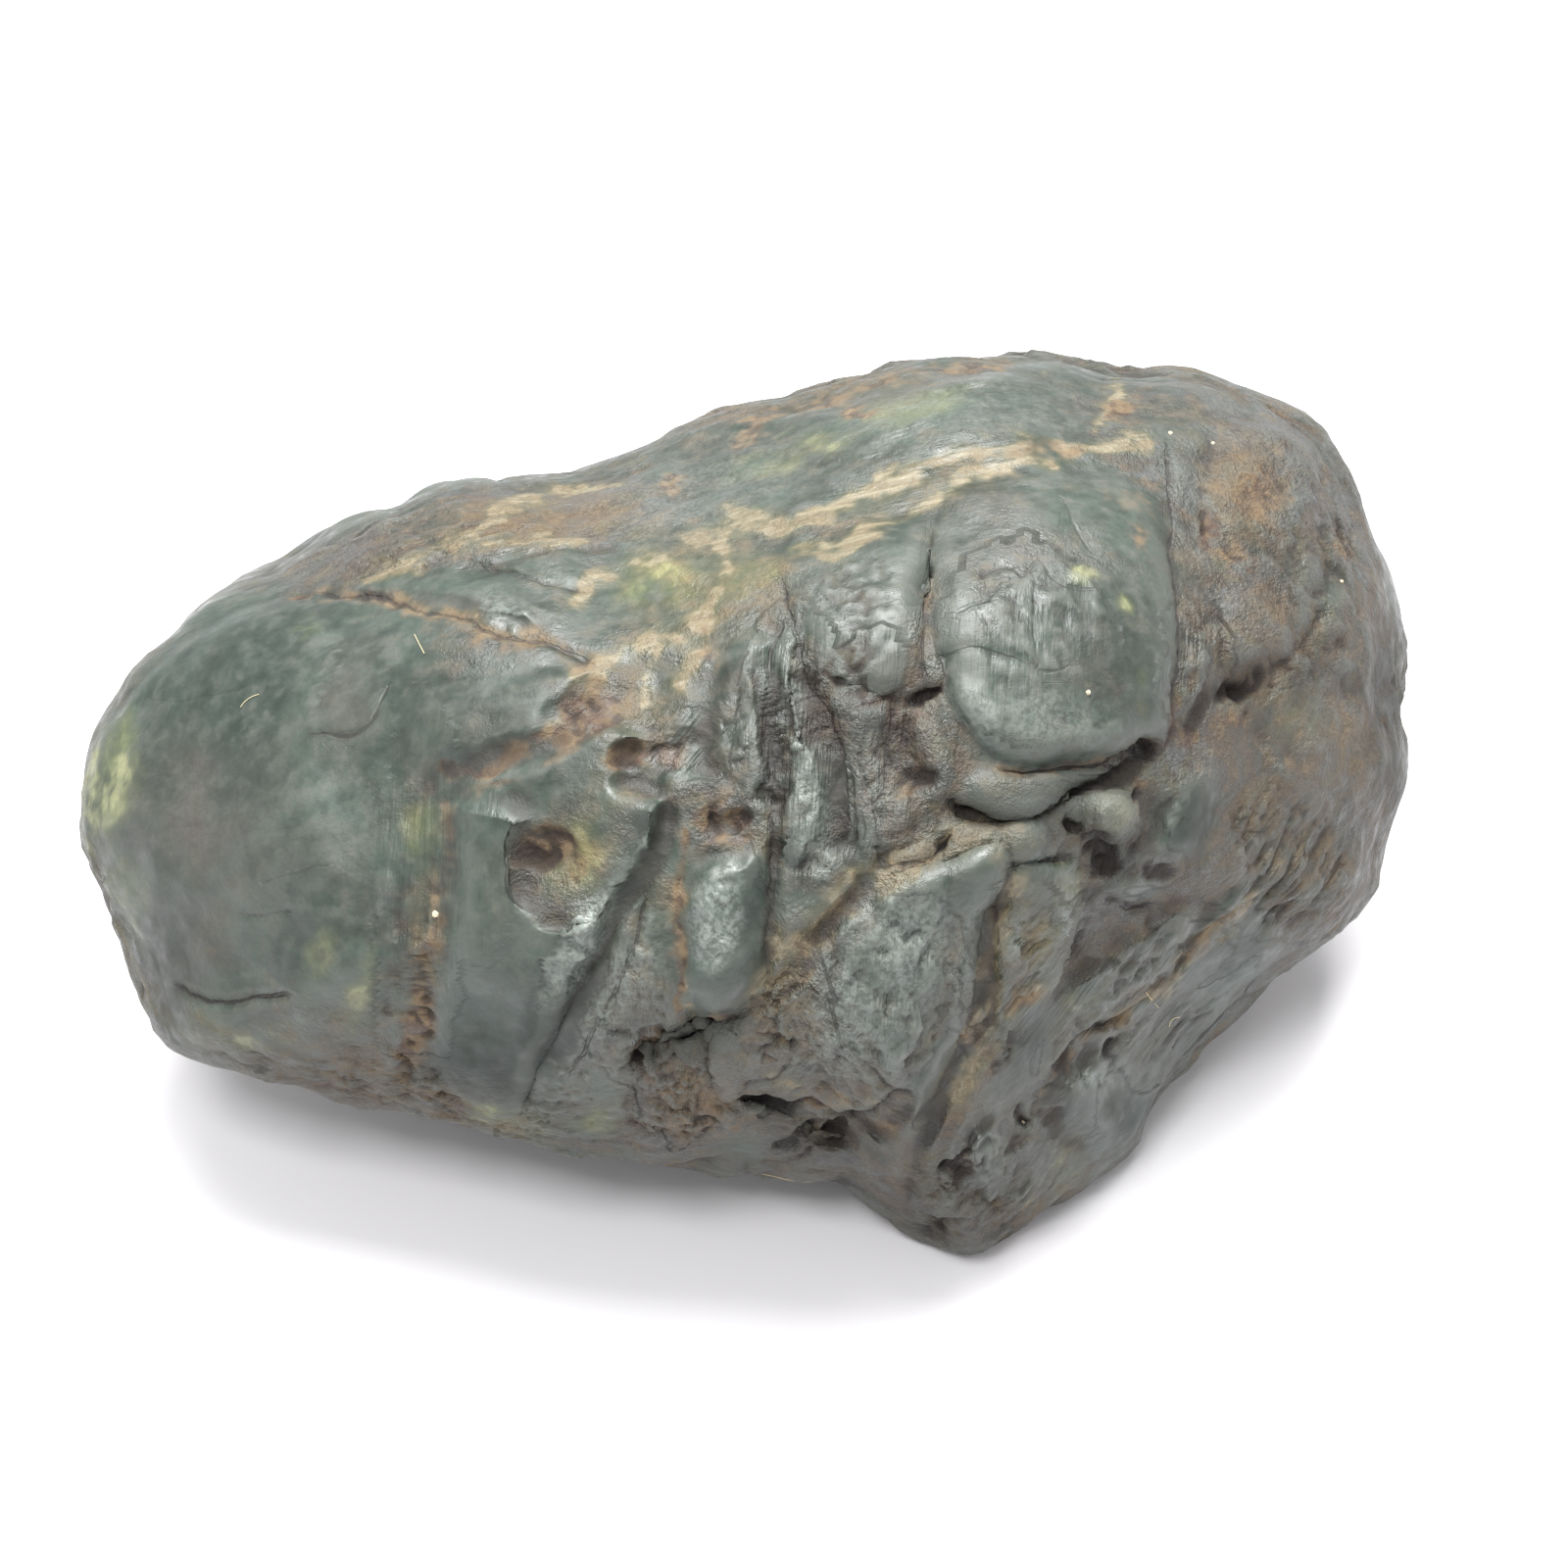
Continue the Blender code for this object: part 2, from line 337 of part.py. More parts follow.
def blocks_height(s, t):
    """The height of the blocks, with worn shoulders, and the number of the block on top, or -1."""
    height, owner = np.zeros(len(s)), np.full(len(s), -1)
    for number, (top, shoulder, lean_s, lean_t, outline) in enumerate(BLOCKS.values()):
        curve = curve_through(outline, closed=True)
        middle = curve.mean(axis=0)
        reached = near(curve, s, t, 0)
        depth, inside = distance_to(curve, s[reached], t[reached], closed=True)
        reached, depth = reached[inside], depth[inside]
        rise = np.minimum(depth / shoulder, 1)
        rise = rise * (1.35 - 0.35 * rise * rise)
        level = top + lean_s * (s[reached] - middle[0]) + lean_t * (t[reached] - middle[1])
        higher = rise * level > height[reached]
        height[reached[higher]] = (rise * level)[higher]
        owner[reached[higher]] = number
    return height, owner


def clefts_depth(s, t):
    """The depth of the clefts, which thin out towards their ends."""
    depth = np.zeros(len(s))
    for half_width, deepest, route in CLEFTS.values():
        curve = curve_through(route, closed=False)
        reached = near(curve, s, t, half_width)
        away, _ = distance_to(curve, s[reached], t[reached], closed=False)
        spot = np.stack([s[reached], t[reached]], axis=1)
        to_end = np.minimum(*(np.hypot(*(spot - end).T) for end in (curve[0], curve[-1])))
        thin = np.minimum(0.25 + to_end / (3 * half_width), 1)
        cut = deepest * thin * np.maximum(1 - (away / half_width) ** 2, 0) ** 1.6
        depth[reached] = np.maximum(depth[reached], cut)
    return depth


def hollows_depth(s, t):
    """The depth of the pits and hollows."""
    depth = np.zeros(len(s))
    for middle_s, middle_t, along, across, turn, deepest in HOLLOWS.values():
        turn = math.radians(turn)
        a = ((s - middle_s) * math.cos(turn) + (t - middle_t) * math.sin(turn)) / along
        b = ((t - middle_t) * math.cos(turn) - (s - middle_s) * math.sin(turn)) / across
        depth += deepest * np.maximum(1 - a * a - b * b, 0) ** 1.5
    return depth


def broad_faces(faces, s, t):
    """The lowest of the broad faces at each place, with soft edges between them."""
    levels = [
        w + rise_s * (s - at_s) + rise_t * (t - at_t) for at_s, at_t, w, rise_s, rise_t in faces.values()]
    return -FACE_BLEND * np.log(sum(np.exp(-level / FACE_BLEND) for level in levels))


def rim_at(angle):
    """How far the rim is from the heart, and its w, in each direction on the sheet."""
    rim = np.array(RIM, float)
    turn = np.arctan2(rim[:, 1] - HEART[1], rim[:, 0] - HEART[0])
    order = np.argsort(turn)
    far = np.hypot(rim[:, 0] - HEART[0], rim[:, 1] - HEART[1])
    ring = np.linspace(-math.pi, math.pi, RIM_STEPS, endpoint=False)
    soften = np.exp(-((np.arange(RIM_STEPS) - RIM_STEPS // 2) / (2 * RIM_SOFTNESS)) ** 2)
    soften = np.fft.rfft(np.roll(soften / soften.sum(), -RIM_STEPS // 2))
    found = []
    for values in (far, rim[:, 2]):
        drawn = np.interp(ring, turn[order], values[order], period=2 * math.pi)
        drawn = np.fft.irfft(np.fft.rfft(drawn) * soften, RIM_STEPS)
        found.append(np.interp(angle, ring, drawn, period=2 * math.pi))
    return found


def stone_points(ball):
    """Turns the points of a unit ball, whose +Z faces the eye, into the stone's skin, in millimetres."""
    out = np.minimum(np.hypot(ball[:, 0], ball[:, 1]), 1)
    angle = np.arctan2(ball[:, 1], ball[:, 0])
    far, rim_w = rim_at(angle)
    s = HEART[0] + out * far * np.cos(angle)
    t = HEART[1] + out * far * np.sin(angle)
    dome = (1 - out**DOME_FALL) ** (1 / DOME_ROOT)
    front = ball[:, 2] > 0
    w = np.where(front, broad_faces(FRONT_FACES, s, t), -broad_faces(BACK_FACES, s, t))
    w = dome * w + (1 - dome) * rim_w
    facing = np.clip(ball[:, 2] / 0.25, 0, 1)
    flat = np.stack([s, t, np.zeros(len(s))], axis=1)
    drift_s, drift_t = (sum(a * noise(flat / size, seed + k) for size, a, seed in WANDER) for k in (0, 100))
    s_drawn, t_drawn = s + drift_s, t + drift_t
    height, _ = blocks_height(s_drawn, t_drawn)
    relief = height - clefts_depth(s_drawn, t_drawn) - hollows_depth(s_drawn, t_drawn)
    return sheet_to_stone(s, t, w + facing * relief), facing


def sheet_to_stone(s, t, w):
    """The place in the stone's frame of a spot on the sheet that stands off it by w, all in millimetres."""
    across, up = s * (REACH - w) / REACH, t * (REACH - w) / REACH
    x = across + SHEET_MIDDLE[0]
    y = up * math.sin(LEAN) - w * math.cos(LEAN) + SHEET_MIDDLE[1]
    z = up * math.cos(LEAN) + w * math.sin(LEAN) + SHEET_MIDDLE[2]
    return np.stack([x, y, z], axis=1)


def skin_cells(points):
    """The pillows and creases of the sides, back and underside, from seeded cells in the rock."""
    stretch = np.array(CELL_STRETCH)
    size, bend = CELL_BEND
    bent = points * stretch + bend * np.stack([noise(points / size, seed) for seed in (1, 2, 3)], axis=1)
    height = np.zeros(len(points))
    for count, depth, crease, seed in CELLS:
        ways = np.random.default_rng(seed).normal(size=(count, 3))
        centres = stone_points(ways / np.linalg.norm(ways, axis=1, keepdims=True))[0] * stretch
        first, second = np.full(len(points), np.inf), np.full(len(points), np.inf)
        for centre in centres:
            away = np.linalg.norm(bent - centre, axis=1)
            second = np.minimum(second, np.maximum(first, away))
            first = np.minimum(first, away)
        strength = np.clip(0.55 + 1.1 * noise(points / 24.0, seed + 1), 0.08, 1)
        height += depth * strength * (1 - np.exp(-(second - first) / crease) - 0.5)
    return height


def settle(points):
    """Wears the underside off at the floor, with a soft edge to the flat."""
    z = points[:, 2]
    eased = np.where(z < REST_ROUNDING, z * z / (2 * REST_ROUNDING), z - REST_ROUNDING / 2)
    points[:, 2] = np.where(z < 0, 0, eased)
    return points


def vertex_array(mesh, what):
    values = np.empty(len(mesh.vertices) * 3, np.float32)
    mesh.vertices.foreach_get(what, values)
    return values.reshape(-1, 3).astype(float)


def smoothed(values, edges, rounds):
    """Values on the vertices, averaged over their neighbours a number of times."""
    count = len(values)
    shares = 1 + np.bincount(edges.ravel(), minlength=count)[:, None]
    for _ in range(rounds):
        total = values.copy()
        for here, there in (edges.T, edges.T[::-1]):
            for column in range(values.shape[1]):
                total[:, column] += np.bincount(here, values[there, column], count)
        values = total / shares
    return values


def shape_stone(mesh):
    """Moves the vertices of a unit ball to the finished skin."""
    points, facing = stone_points(vertex_array(mesh, "co"))
    edges = np.empty(len(mesh.edges) * 2, np.int32)
    mesh.edges.foreach_get("vertices", edges)
    points = smoothed(points, edges.reshape(-1, 2), WORN_ROUNDS)
    mesh.vertices.foreach_set("co", points.ravel())
    mesh.update()
    normals = vertex_array(mesh, "normal")
    lift = sum(height * noise(points / size, seed) for size, height, seed in UNEVEN)
    lift += (1 - facing) * skin_cells(points)
    points = settle(points + normals * lift[:, None])
    mesh.vertices.foreach_set("co", (points * MM).ravel())
    mesh.update()


def thin_out(stone):
    """Brings the skin down to the faces that its form needs, and keeps the flat truly flat."""
    thin = stone.modifiers.new("thin_out", "DECIMATE")
    thin.ratio = FACE_TARGET / len(stone.data.polygons)
    bpy.ops.object.modifier_apply(modifier=thin.name)
    points = vertex_array(stone.data, "co")
    points[:, 2] = np.where(points[:, 2] < REST_FLAT * MM, 0, points[:, 2])
    stone.data.vertices.foreach_set("co", points.ravel())
    stone.data.update()


def jade():
    """The stone's plain finish: worn grey-green nephrite."""
    material = bpy.data.materials.new("jade")
    material.use_nodes = True
    shader = material.node_tree.nodes["Principled BSDF"]
    shader.inputs["Base Color"].default_value = (0.16, 0.19, 0.16, 1)
    shader.inputs["Roughness"].default_value = 0.5
    shader.inputs["Metallic"].default_value = 0
    return material


def build():
    for thing in list(bpy.data.objects):
        bpy.data.objects.remove(thing)
    collection = bpy.data.collections.new("jade_cobble")
    bpy.context.scene.collection.children.link(collection)
    bpy.ops.mesh.primitive_ico_sphere_add(subdivisions=SPHERE_STEPS, radius=1)
    stone = bpy.context.object
    stone.name = NAME
    stone.data.name = NAME
    for holder in stone.users_collection:
        holder.objects.unlink(stone)
    collection.objects.link(stone)
    bpy.context.view_layer.objects.active = stone
    shape_stone(stone.data)
    thin_out(stone)
    stone.data.materials.append(jade())
    stone.data.shade_smooth()
    stone.data.set_sharp_from_angle(angle=math.radians(50))
    return stone


build()
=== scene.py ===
"""The looks of a water-worn nephrite jade cobble: its carved skin, its colours, and a plain studio.

The stone is drawn on a sheet that leans back by LEAN, as the solid is: s runs to the right, t runs up, and
w stands off the sheet towards the front, all in millimetres. To the solid's own form the skin adds cracks,
fibres, crumples and pits. It carries the veins, rust and crust as named paint that the material reads.
"""

import itertools
import math

import bpy
import numpy as np
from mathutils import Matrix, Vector


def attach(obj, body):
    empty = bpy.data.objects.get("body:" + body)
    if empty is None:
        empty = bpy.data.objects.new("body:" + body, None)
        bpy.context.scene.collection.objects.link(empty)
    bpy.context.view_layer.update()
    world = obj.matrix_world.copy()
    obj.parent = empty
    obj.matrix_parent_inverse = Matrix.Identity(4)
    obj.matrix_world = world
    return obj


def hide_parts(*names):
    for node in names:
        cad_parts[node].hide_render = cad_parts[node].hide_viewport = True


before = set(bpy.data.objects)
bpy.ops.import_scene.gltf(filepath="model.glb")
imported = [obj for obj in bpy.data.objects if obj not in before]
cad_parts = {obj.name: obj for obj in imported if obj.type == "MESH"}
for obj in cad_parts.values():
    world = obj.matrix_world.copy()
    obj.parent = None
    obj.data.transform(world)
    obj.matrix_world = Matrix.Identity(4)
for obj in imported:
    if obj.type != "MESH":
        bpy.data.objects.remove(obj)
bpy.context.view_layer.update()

MM = 0.001

# The sheet, and the place of its middle in the stone's own frame: +X right, +Y back, +Z up.
LEAN = math.radians(45)
REACH = 250.0
SHEET_MIDDLE = (2.0, -3.7, 34.8)
HEART = (-4.0, -2.0)

# The outline that is seen, as (s, t, w) from the left end round over the top.
RIM = [
    (-64.7, -3.5, 2), (-62.7, 3.9, 2), (-60, 10, 1), (-56.9, 14.2, 0), (-51, 18.3, -2),
    (-47, 20.3, -3), (-42, 23.4, -4), (-37.5, 25.5, -4), (-35.5, 25.4, -4), (-33, 27.1, -5),
    (-25, 28.5, -6), (-20, 29.1, -7), (-16, 30.3, -8), (-10, 32.9, -9), (0, 35.4, -10),
    (6, 37.2, -11), (11, 39, -12), (21.5, 39.9, -12), (26.5, 39.5, -12), (30, 38.5, -12),
    (38.2, 38.4, -13), (45, 36.6, -13), (50, 33.4, -13), (53.2, 28, -13), (55.3, 23.4, -13),
    (56.2, 22, -13), (57.8, 18.5, -13), (58.7, 14.5, -13), (58, 9.5, -13), (58, 2, -14),
    (55.2, -5, -15), (54.4, -9, -16), (49.9, -13.1, -17), (43.3, -17.8, -17), (37.9, -22.9, -15),
    (32.9, -28.9, -12), (32, -31.8, -10), (27.2, -35.4, -8), (22.2, -39.2, -6), (17.7, -42.1, -5),
    (11.2, -38.7, -4), (8.2, -37, -3), (6.5, -35.2, -2), (-0.2, -34.2, 0), (-8.8, -34.2, 1),
    (-15.6, -33.4, 1), (-21.9, -32.1, 2), (-29.8, -29.4, 2), (-35.5, -27.7, 2), (-42.8, -26, 2),
    (-53, -24.4, 2), (-57.3, -23.2, 2), (-58.6, -18.8, 2), (-61.2, -12.4, 2), (-63.4, -8.5, 2),
]

# The broad faces, each as a point on it and how w changes along s and t. The back ones give the depth.
FRONT_FACES = {
    "front": (0, -5, 31, 0.02, 0.06),
    "crown_left": (-25, 20, 28, 0.02, -0.70),
    "crown_right": (15, 27, 30, 0.20, -0.80),
    "left": (-40, 0, 28, 0.36, 0.04),
    "right": (38, 8, 28.5, -0.55, 0.04),
    "low_right": (33, -19, 23.5, -0.42, 0.46),
    "low_left": (-20, -24, 28, 0.02, 0.55),
}
BACK_FACES = {
    "back": (0, 0, 38, 0.02, -0.06),
    "under": (10, -20, 28.4, 0, 1.05),
    "under_left": (-14, -14, 34.6, 0.36, 0.90),
    "left": (-38, 5, 30, 0.46, -0.10),
    "right": (32, 5, 37, -0.30, 0.05),
    "top": (0, 16, 35, 0, -0.42),
}
FACE_BLEND = 2.2
DOME_FALL = 2.8
DOME_ROOT = 2.2

# The blocks that stand proud of the ground between them, as
# (height, shoulder, lean along s, lean along t, outline).
BLOCKS = {
    "hook": (2.9, 1.6, 0.17, 0.05, [
        (-31.6, -0.6), (-29, 0.2), (-26.2, 0.1), (-24, -1.1), (-22.3, -2.1), (-23.6, -3.6),
        (-24.2, -5.2), (-22.9, -6.3), (-23.9, -8.6), (-22.2, -11), (-19.6, -11.4), (-16.9, -9.8),
        (-15.2, -7.4), (-14, -4.8), (-13.6, -2.4), (-12.6, -0.7), (-10.8, -0.5), (-10.4, -1.8),
        (-11.8, -4.8), (-14.4, -10), (-17, -14.6), (-19, -18.8), (-21.6, -22.6), (-23.8, -25.6),
        (-24.8, -28), (-27, -29), (-30, -27.6), (-31.9, -24.4), (-32.8, -20), (-32.6, -16.8),
        (-32, -14.4), (-32.3, -11), (-31.9, -6)]),
    "brow": (1.5, 1.5, 0.03, 0, [
        (-30.6, 1.4), (-25.5, 3.3), (-21.5, 4.9), (-18.5, 6.4), (-15.5, 6.8), (-12.6, 5.4), (-14.4, 3.6),
        (-14.6, 1), (-17, -1.2), (-20.4, -2.2), (-22.8, -3.4), (-25.6, -2.4), (-28.6, -0.8)]),
    "plate": (0.8, 1.8, 0, -0.05, [
        (-35, 7.6), (-33, 9.5), (-29, 10.2), (-25, 11.6), (-20, 12.8), (-16.8, 12.8),
        (-17.6, 10.2), (-20.6, 7.8), (-21.6, 5.6), (-25.6, 3.8), (-28.2, 2.7), (-31, 2.1), (-33.6, 1),
        (-35, 2.6)]),
    "curl": (1, 1, 0, 0, [
        (-12.2, 0.6), (-10.6, 2), (-8.6, 2.9), (-7.5, 1.8), (-7.5, 0), (-9, -0.1), (-10.4, 0.2)]),
    "wedge": (0.8, 0.7, 0.07, 0.02, [
        (-8.4, -2.6), (-7.6, -5.4), (-7.4, -9), (-7.2, -14), (-8, -18), (-10.2, -20.2),
        (-12.4, -21.4), (-13.7, -24.2), (-14.3, -29), (-16.8, -31.8), (-20.4, -32), (-24.6, -30.8),
        (-25.2, -28.4), (-22.6, -23.2), (-20, -19), (-17.8, -14.8), (-15.4, -10.4), (-12.9, -5.4),
        (-11.4, -2.6)]),
    "egg": (2.9, 3.7, -0.04, 0.02, [
        (-9.8, -8), (-8.2, -5), (-5, -4.2), (-2.4, -3.8), (-0.4, -5.4), (0, -9.2), (-0.2, -12.8),
        (-1, -16.8), (-2.8, -19.9), (-5.2, -20.9), (-8, -20.3), (-9.5, -17.4), (-9.9, -14),
        (-10.2, -11)]),
    "swirl": (1.2, 1.7, 0.04, 0, [
        (-7.6, 3.6), (-7.6, 8.4), (-6.6, 12), (-4.2, 14), (-1.8, 14.6), (-1.3, 11), (-1.4, 5),
        (-1.4, 0), (-1.5, -4.6), (-3.4, -4.8), (-5.2, -1.4), (-6.6, 1.2)]),
    "pad": (0.6, 1.8, 0, 0, [
        (-12.6, 8.5), (-11.6, 11.6), (-9, 12.1), (-7.4, 10.6), (-7.1, 7.6), (-7.4, 5.4), (-9.5, 4.8),
        (-11.5, 6)]),
    "spine": (2.1, 1.5, 0.06, 0, [
        (0.3, 17.4), (1, 14), (1.8, 10.6), (2.8, 7.4), (3.8, 4.4), (4.6, 1), (4.8, -2),
        (4.2, -5), (2.4, -6.4), (-0.6, -6.8), (-0.9, -2), (-0.8, 4), (-0.6, 10), (-0.2, 14.4)]),
    "strand": (1.2, 0.9, 0, 0, [
        (5, 6), (6.2, 3.4), (7, 0.2), (7.6, -2.6), (8.8, -4.8), (8.8, -8), (7.4, -8.2),
        (6, -5.6), (5.4, -2), (5, 1.4), (4.4, 4.6)]),
    "shoulder": (1.2, 1.8, 0.05, 0.02, [
        (-0.4, 21), (1.4, 22.4), (5, 23.2), (9, 24), (13.2, 24), (13.2, 20.4), (12.2, 17),
        (11.4, 14), (11, 11.4), (9.8, 9.8), (8, 9.2), (6, 10.2), (3.4, 12.2), (1.8, 14.6),
        (0.6, 17.2)]),
    "bulge": (1.9, 1.6, 0.03, 0, [
        (14.6, 18), (13.8, 21), (14.6, 24.4), (17.4, 26.4), (21.6, 27.9), (26, 28.6), (30.6, 28.8),
        (34.4, 26.4), (35.8, 21.6), (36.4, 16), (36.2, 11), (36.4, 7.4), (35, 5), (32.4, 3.8),
        (29.6, 3.4), (26.6, 3), (24, 2.6), (21.6, 2.6), (20, 3.6), (18.4, 5.4), (16.8, 7.2),
        (15.6, 9.2), (15.2, 11.2), (14.4, 14)]),
    "lip": (0.8, 0.8, 0, 0, [
        (17, 1.3), (19, 1.9), (22, 1.7), (25, 1.7), (28.4, 1.9), (27.2, 0.9), (25.2, -0.4),
        (23, -1.5), (20.8, -1.8), (18.8, -1), (17.4, 0.2)]),
    "knob": (2.9, 1.4, 0, 0, [
        (27.6, -1.7), (28.2, 0.2), (30.2, 1), (32.4, 0.5), (33.2, -1.3), (32.8, -3.4), (31.2, -4.5),
        (29.2, -4.5), (27.9, -3.4)]),
    "band": (0.9, 0.7, 0, 0, [
        (-3.4, -19.4), (-2.6, -17), (0, -14.4), (3, -12.4), (6, -10.6), (7.6, -8.8), (8.8, -7),
        (11, -5.6), (13.4, -4.6), (15.6, -3.4), (19.8, -2.9), (20.4, -4.6), (19, -5.6), (15.6, -6.2),
        (12, -7.8), (9, -9.6), (6.6, -12), (3.6, -14.2), (0.4, -16.6), (-1.8, -19)]),
    "fan": (2, 1.2, 0.08, 0, [
        (4, -11.6), (8.6, -9.2), (10, -7.6), (13, -6.6), (16, -6), (19.6, -4.8), (20.4, -6.6),
        (20.2, -9.4), (18.9, -12.2), (18.5, -16), (18.3, -19), (17.4, -22.4), (16.2, -25.2),
        (14.8, -27.8), (12.8, -30.8), (10.8, -32.2), (9.8, -30.2), (10.2, -28.6), (8.4, -29.8),
        (6.8, -29.2), (5.2, -30.3), (3.4, -29.9), (1.8, -28.8), (0.2, -28.7), (-1.4, -27.4), (-3.6, -26.4),
        (-5.2, -24.8), (-4.6, -21.6), (-3.2, -19.6), (-1.2, -18), (1.6, -15.6)]),
    "chip": (1.4, 1.1, 0, 0, [
        (20.4, -3.4), (22.4, -2.8), (24, -3.6), (24.2, -5.2), (22.6, -6.2), (20.6, -5.8)]),
    "post": (1.5, 0.9, 0.06, 0, [
        (20.4, -6.6), (23.3, -6.2), (26.4, -6.8), (27.6, -10.3), (26.7, -14.3), (26.4, -17.6),
        (24.4, -20.8), (21.6, -22.6), (19.4, -22), (19.2, -18), (19.6, -13), (20.4, -10)]),
    "slant": (1.4, 1, 0.03, 0, [
        (23.4, -20.4), (26.4, -17.6), (29.6, -15.8), (34, -13), (37.6, -10.6), (38.6, -12.4),
        (36, -16), (32.6, -19.8), (29, -23.2), (26, -25.8), (22.8, -29.6), (20, -31),
        (18.8, -29), (19.6, -25.6)]),
    "fin": (1.5, 1.4, 0, 0, [
        (17.6, -26.2), (19.4, -25), (20, -27), (19.2, -29.6), (17.4, -31.8), (15.6, -34.2),
        (14.6, -33.4), (15.8, -30)]),
    "shard": (1.6, 1.2, 0.05, 0, [
        (16.6, -33.8), (18, -31), (20, -29.8), (21, -32), (20.8, -35.6), (19.2, -37.2),
        (17.2, -35.8)]),
    "toe": (1.6, 1.6, 0, 0, [
        (12.4, -37), (14.4, -35.4), (16.6, -36.4), (19, -37.6), (18.8, -39.4), (16.4, -40.2),
        (13.4, -39.4)]),
    "heel": (1.5, 1.5, 0, 0, [
        (21.4, -31), (23.6, -29.6), (25.2, -31.6), (27.4, -33.4), (26.8, -36.2), (23.8, -38.8),
        (21.2, -39.6), (20.4, -37.4), (21.6, -34.6)]),
    "green_end": (2.4, 2.2, -0.05, 0.04, [
        (26.6, -25.8), (28.6, -23.8), (31, -23.2), (32.8, -25.6), (33.8, -28.6), (33.6, -31.4),
        (32.2, -34.2), (30, -35), (27.8, -33), (25.6, -31.4), (25.2, -28.6)]),
    "rail": (1.7, 1.2, 0, 0.03, [
        (42, -9.2), (45.6, -12.4), (44.4, -16.8), (41.2, -21), (38, -25.2), (35.2, -29),
        (33.8, -30.2), (32.2, -27.4), (30.4, -24.4), (28.6, -22.6), (31.8, -19.4), (35.4, -15.8),
        (39, -12)]),
    "tongue": (1.4, 1.2, 0.08, 0, [
        (34, -4.2), (35.4, -0.6), (37.4, 2), (39.6, 2.4), (40.4, 0.2), (39.6, -3), (38.4, -5.4),
        (36.9, -7.2), (35.2, -6.4), (33.4, -5.8)]),
    "scale": (1.4, 1.5, 0, 0, [
        (30.5, -8.4), (32, -7.2), (34.6, -7.2), (36.4, -8.4), (35.2, -10.2), (33.4, -11.3),
        (31.5, -10.9)]),
    "slab": (0.9, 1.1, 0.08, 0, [
        (36.4, 17.4), (38.6, 17.6), (39.9, 15.2), (40.1, 12.2), (39.6, 9.4), (38, 7.2), (36.4, 5.8),
        (36.2, 10)]),
    "right_wedge": (1.1, 1.1, 0.04, -0.16, [
        (40.4, 16.8), (41, 20.8), (43.6, 22.2), (47, 22.8), (48.8, 21.4), (48.9, 18), (48, 15.2),
        (46.2, 12.8), (43.8, 12), (41.6, 11), (40.6, 12.6)]),
    "right_brow": (0.8, 1.6, 0, -0.06, [
        (40, 32.2), (41.4, 34.6), (45, 34.4), (48.2, 31.6), (50.4, 28.4), (49.2, 25.6), (47.6, 23.4),
        (44, 23.4), (41.2, 23), (39.9, 25), (39.8, 28.4)]),
    "right_end": (1.2, 1.4, 0.05, -0.03, [
        (45.6, 10.6), (48, 13.6), (50, 17.2), (50.6, 21), (53.6, 21.4), (55.2, 18.4), (55.8, 14),
        (55.6, 8), (55.4, 1), (53, -3), (49.6, -3.4), (46.2, -0.4), (44.4, 4.4), (43.8, 8.2)]),
    "long_lens": (0.9, 1.2, 0, -0.25, [
        (-41, 19.9), (-38, 21.1), (-34, 21.3), (-30, 20.9), (-26, 20.5), (-23.4, 19.5),
        (-22.4, 17.5), (-23, 15.8), (-25, 15.6), (-28, 16.4), (-31, 17.6), (-35, 18.5),
        (-38.5, 19.2)]),
    "small_lens": (0.7, 1.1, 0, -0.1, [
        (-27, 21.4), (-25, 22.6), (-22, 23.6), (-19.4, 23.2), (-18, 21.5), (-18.6, 19.6),
        (-21, 20), (-24, 20.6)]),
    "column": (1, 0.9, 0, 0, [
        (-12.8, -24.6), (-10.4, -22.8), (-7.6, -22.6), (-7.1, -25.2), (-6.9, -28.6), (-7.4, -32),
        (-9.6, -33), (-12.8, -32.8), (-13.8, -29)]),
    "drop": (1.5, 1, 0, 0, [
        (-6.6, -23.4), (-5.2, -22), (-3.8, -22.6), (-3.6, -25.4), (-4.4, -28.2), (-6, -28.6),
        (-6.8, -26)]),
    "crumb": (1.3, 1.1, 0, 0, [
        (-6, -28.6), (-4.6, -28.6), (-4, -30.2), (-4.8, -31.4), (-6, -31)]),
    "sole": (1.4, 1.2, 0, 0, [
        (-2, -33.4), (1.2, -32.6), (4.8, -31.6), (8.2, -32.8), (8.8, -35.4), (6.8, -36.6), (3, -36.2),
        (-1, -35.6)]),
    "saddle": (1.8, 0.6, 0.11, 0, [
        (-26, -2.6), (-22, 0.4), (-18, 1.2), (-14.2, 0.6), (-11.6, -1.2), (-13.2, -5.2),
        (-15.6, -9.4), (-18.6, -12.8), (-22.4, -13), (-25.4, -10.4), (-26.6, -6)]),
    "recess_wall": (0.9, 0.9, 0, 0, [
        (5.4, 10.4), (9, 8.4), (13, 6.8), (15.4, 4), (15, 0), (11, -3.4), (8.4, -4.8),
        (6.2, -3.6), (5.4, 0.6), (4.6, 4.6), (3.8, 8.4)]),
    "fan_ledge": (2.7, 0.9, 0.06, 0, [
        (8.8, -8.6), (12.6, -7.6), (15.2, -8), (15.8, -13), (15.2, -19), (13.6, -22.2),
        (11.8, -24.6), (10.2, -27.6), (8.6, -24.4), (6, -21.6), (4.4, -19.4), (5.6, -15.4), (7, -12)]),
    "egg_brow": (1.3, 0.8, 0, 0, [
        (-11, 0.2), (-9, 1.6), (-6, 1.8), (-3, 0.6), (-0.6, -1.4), (-0.4, -5.6), (-3, -6),
        (-8, -6.4), (-10.6, -4.4)]),
    "flake": (1, 0.8, 0, 0, [
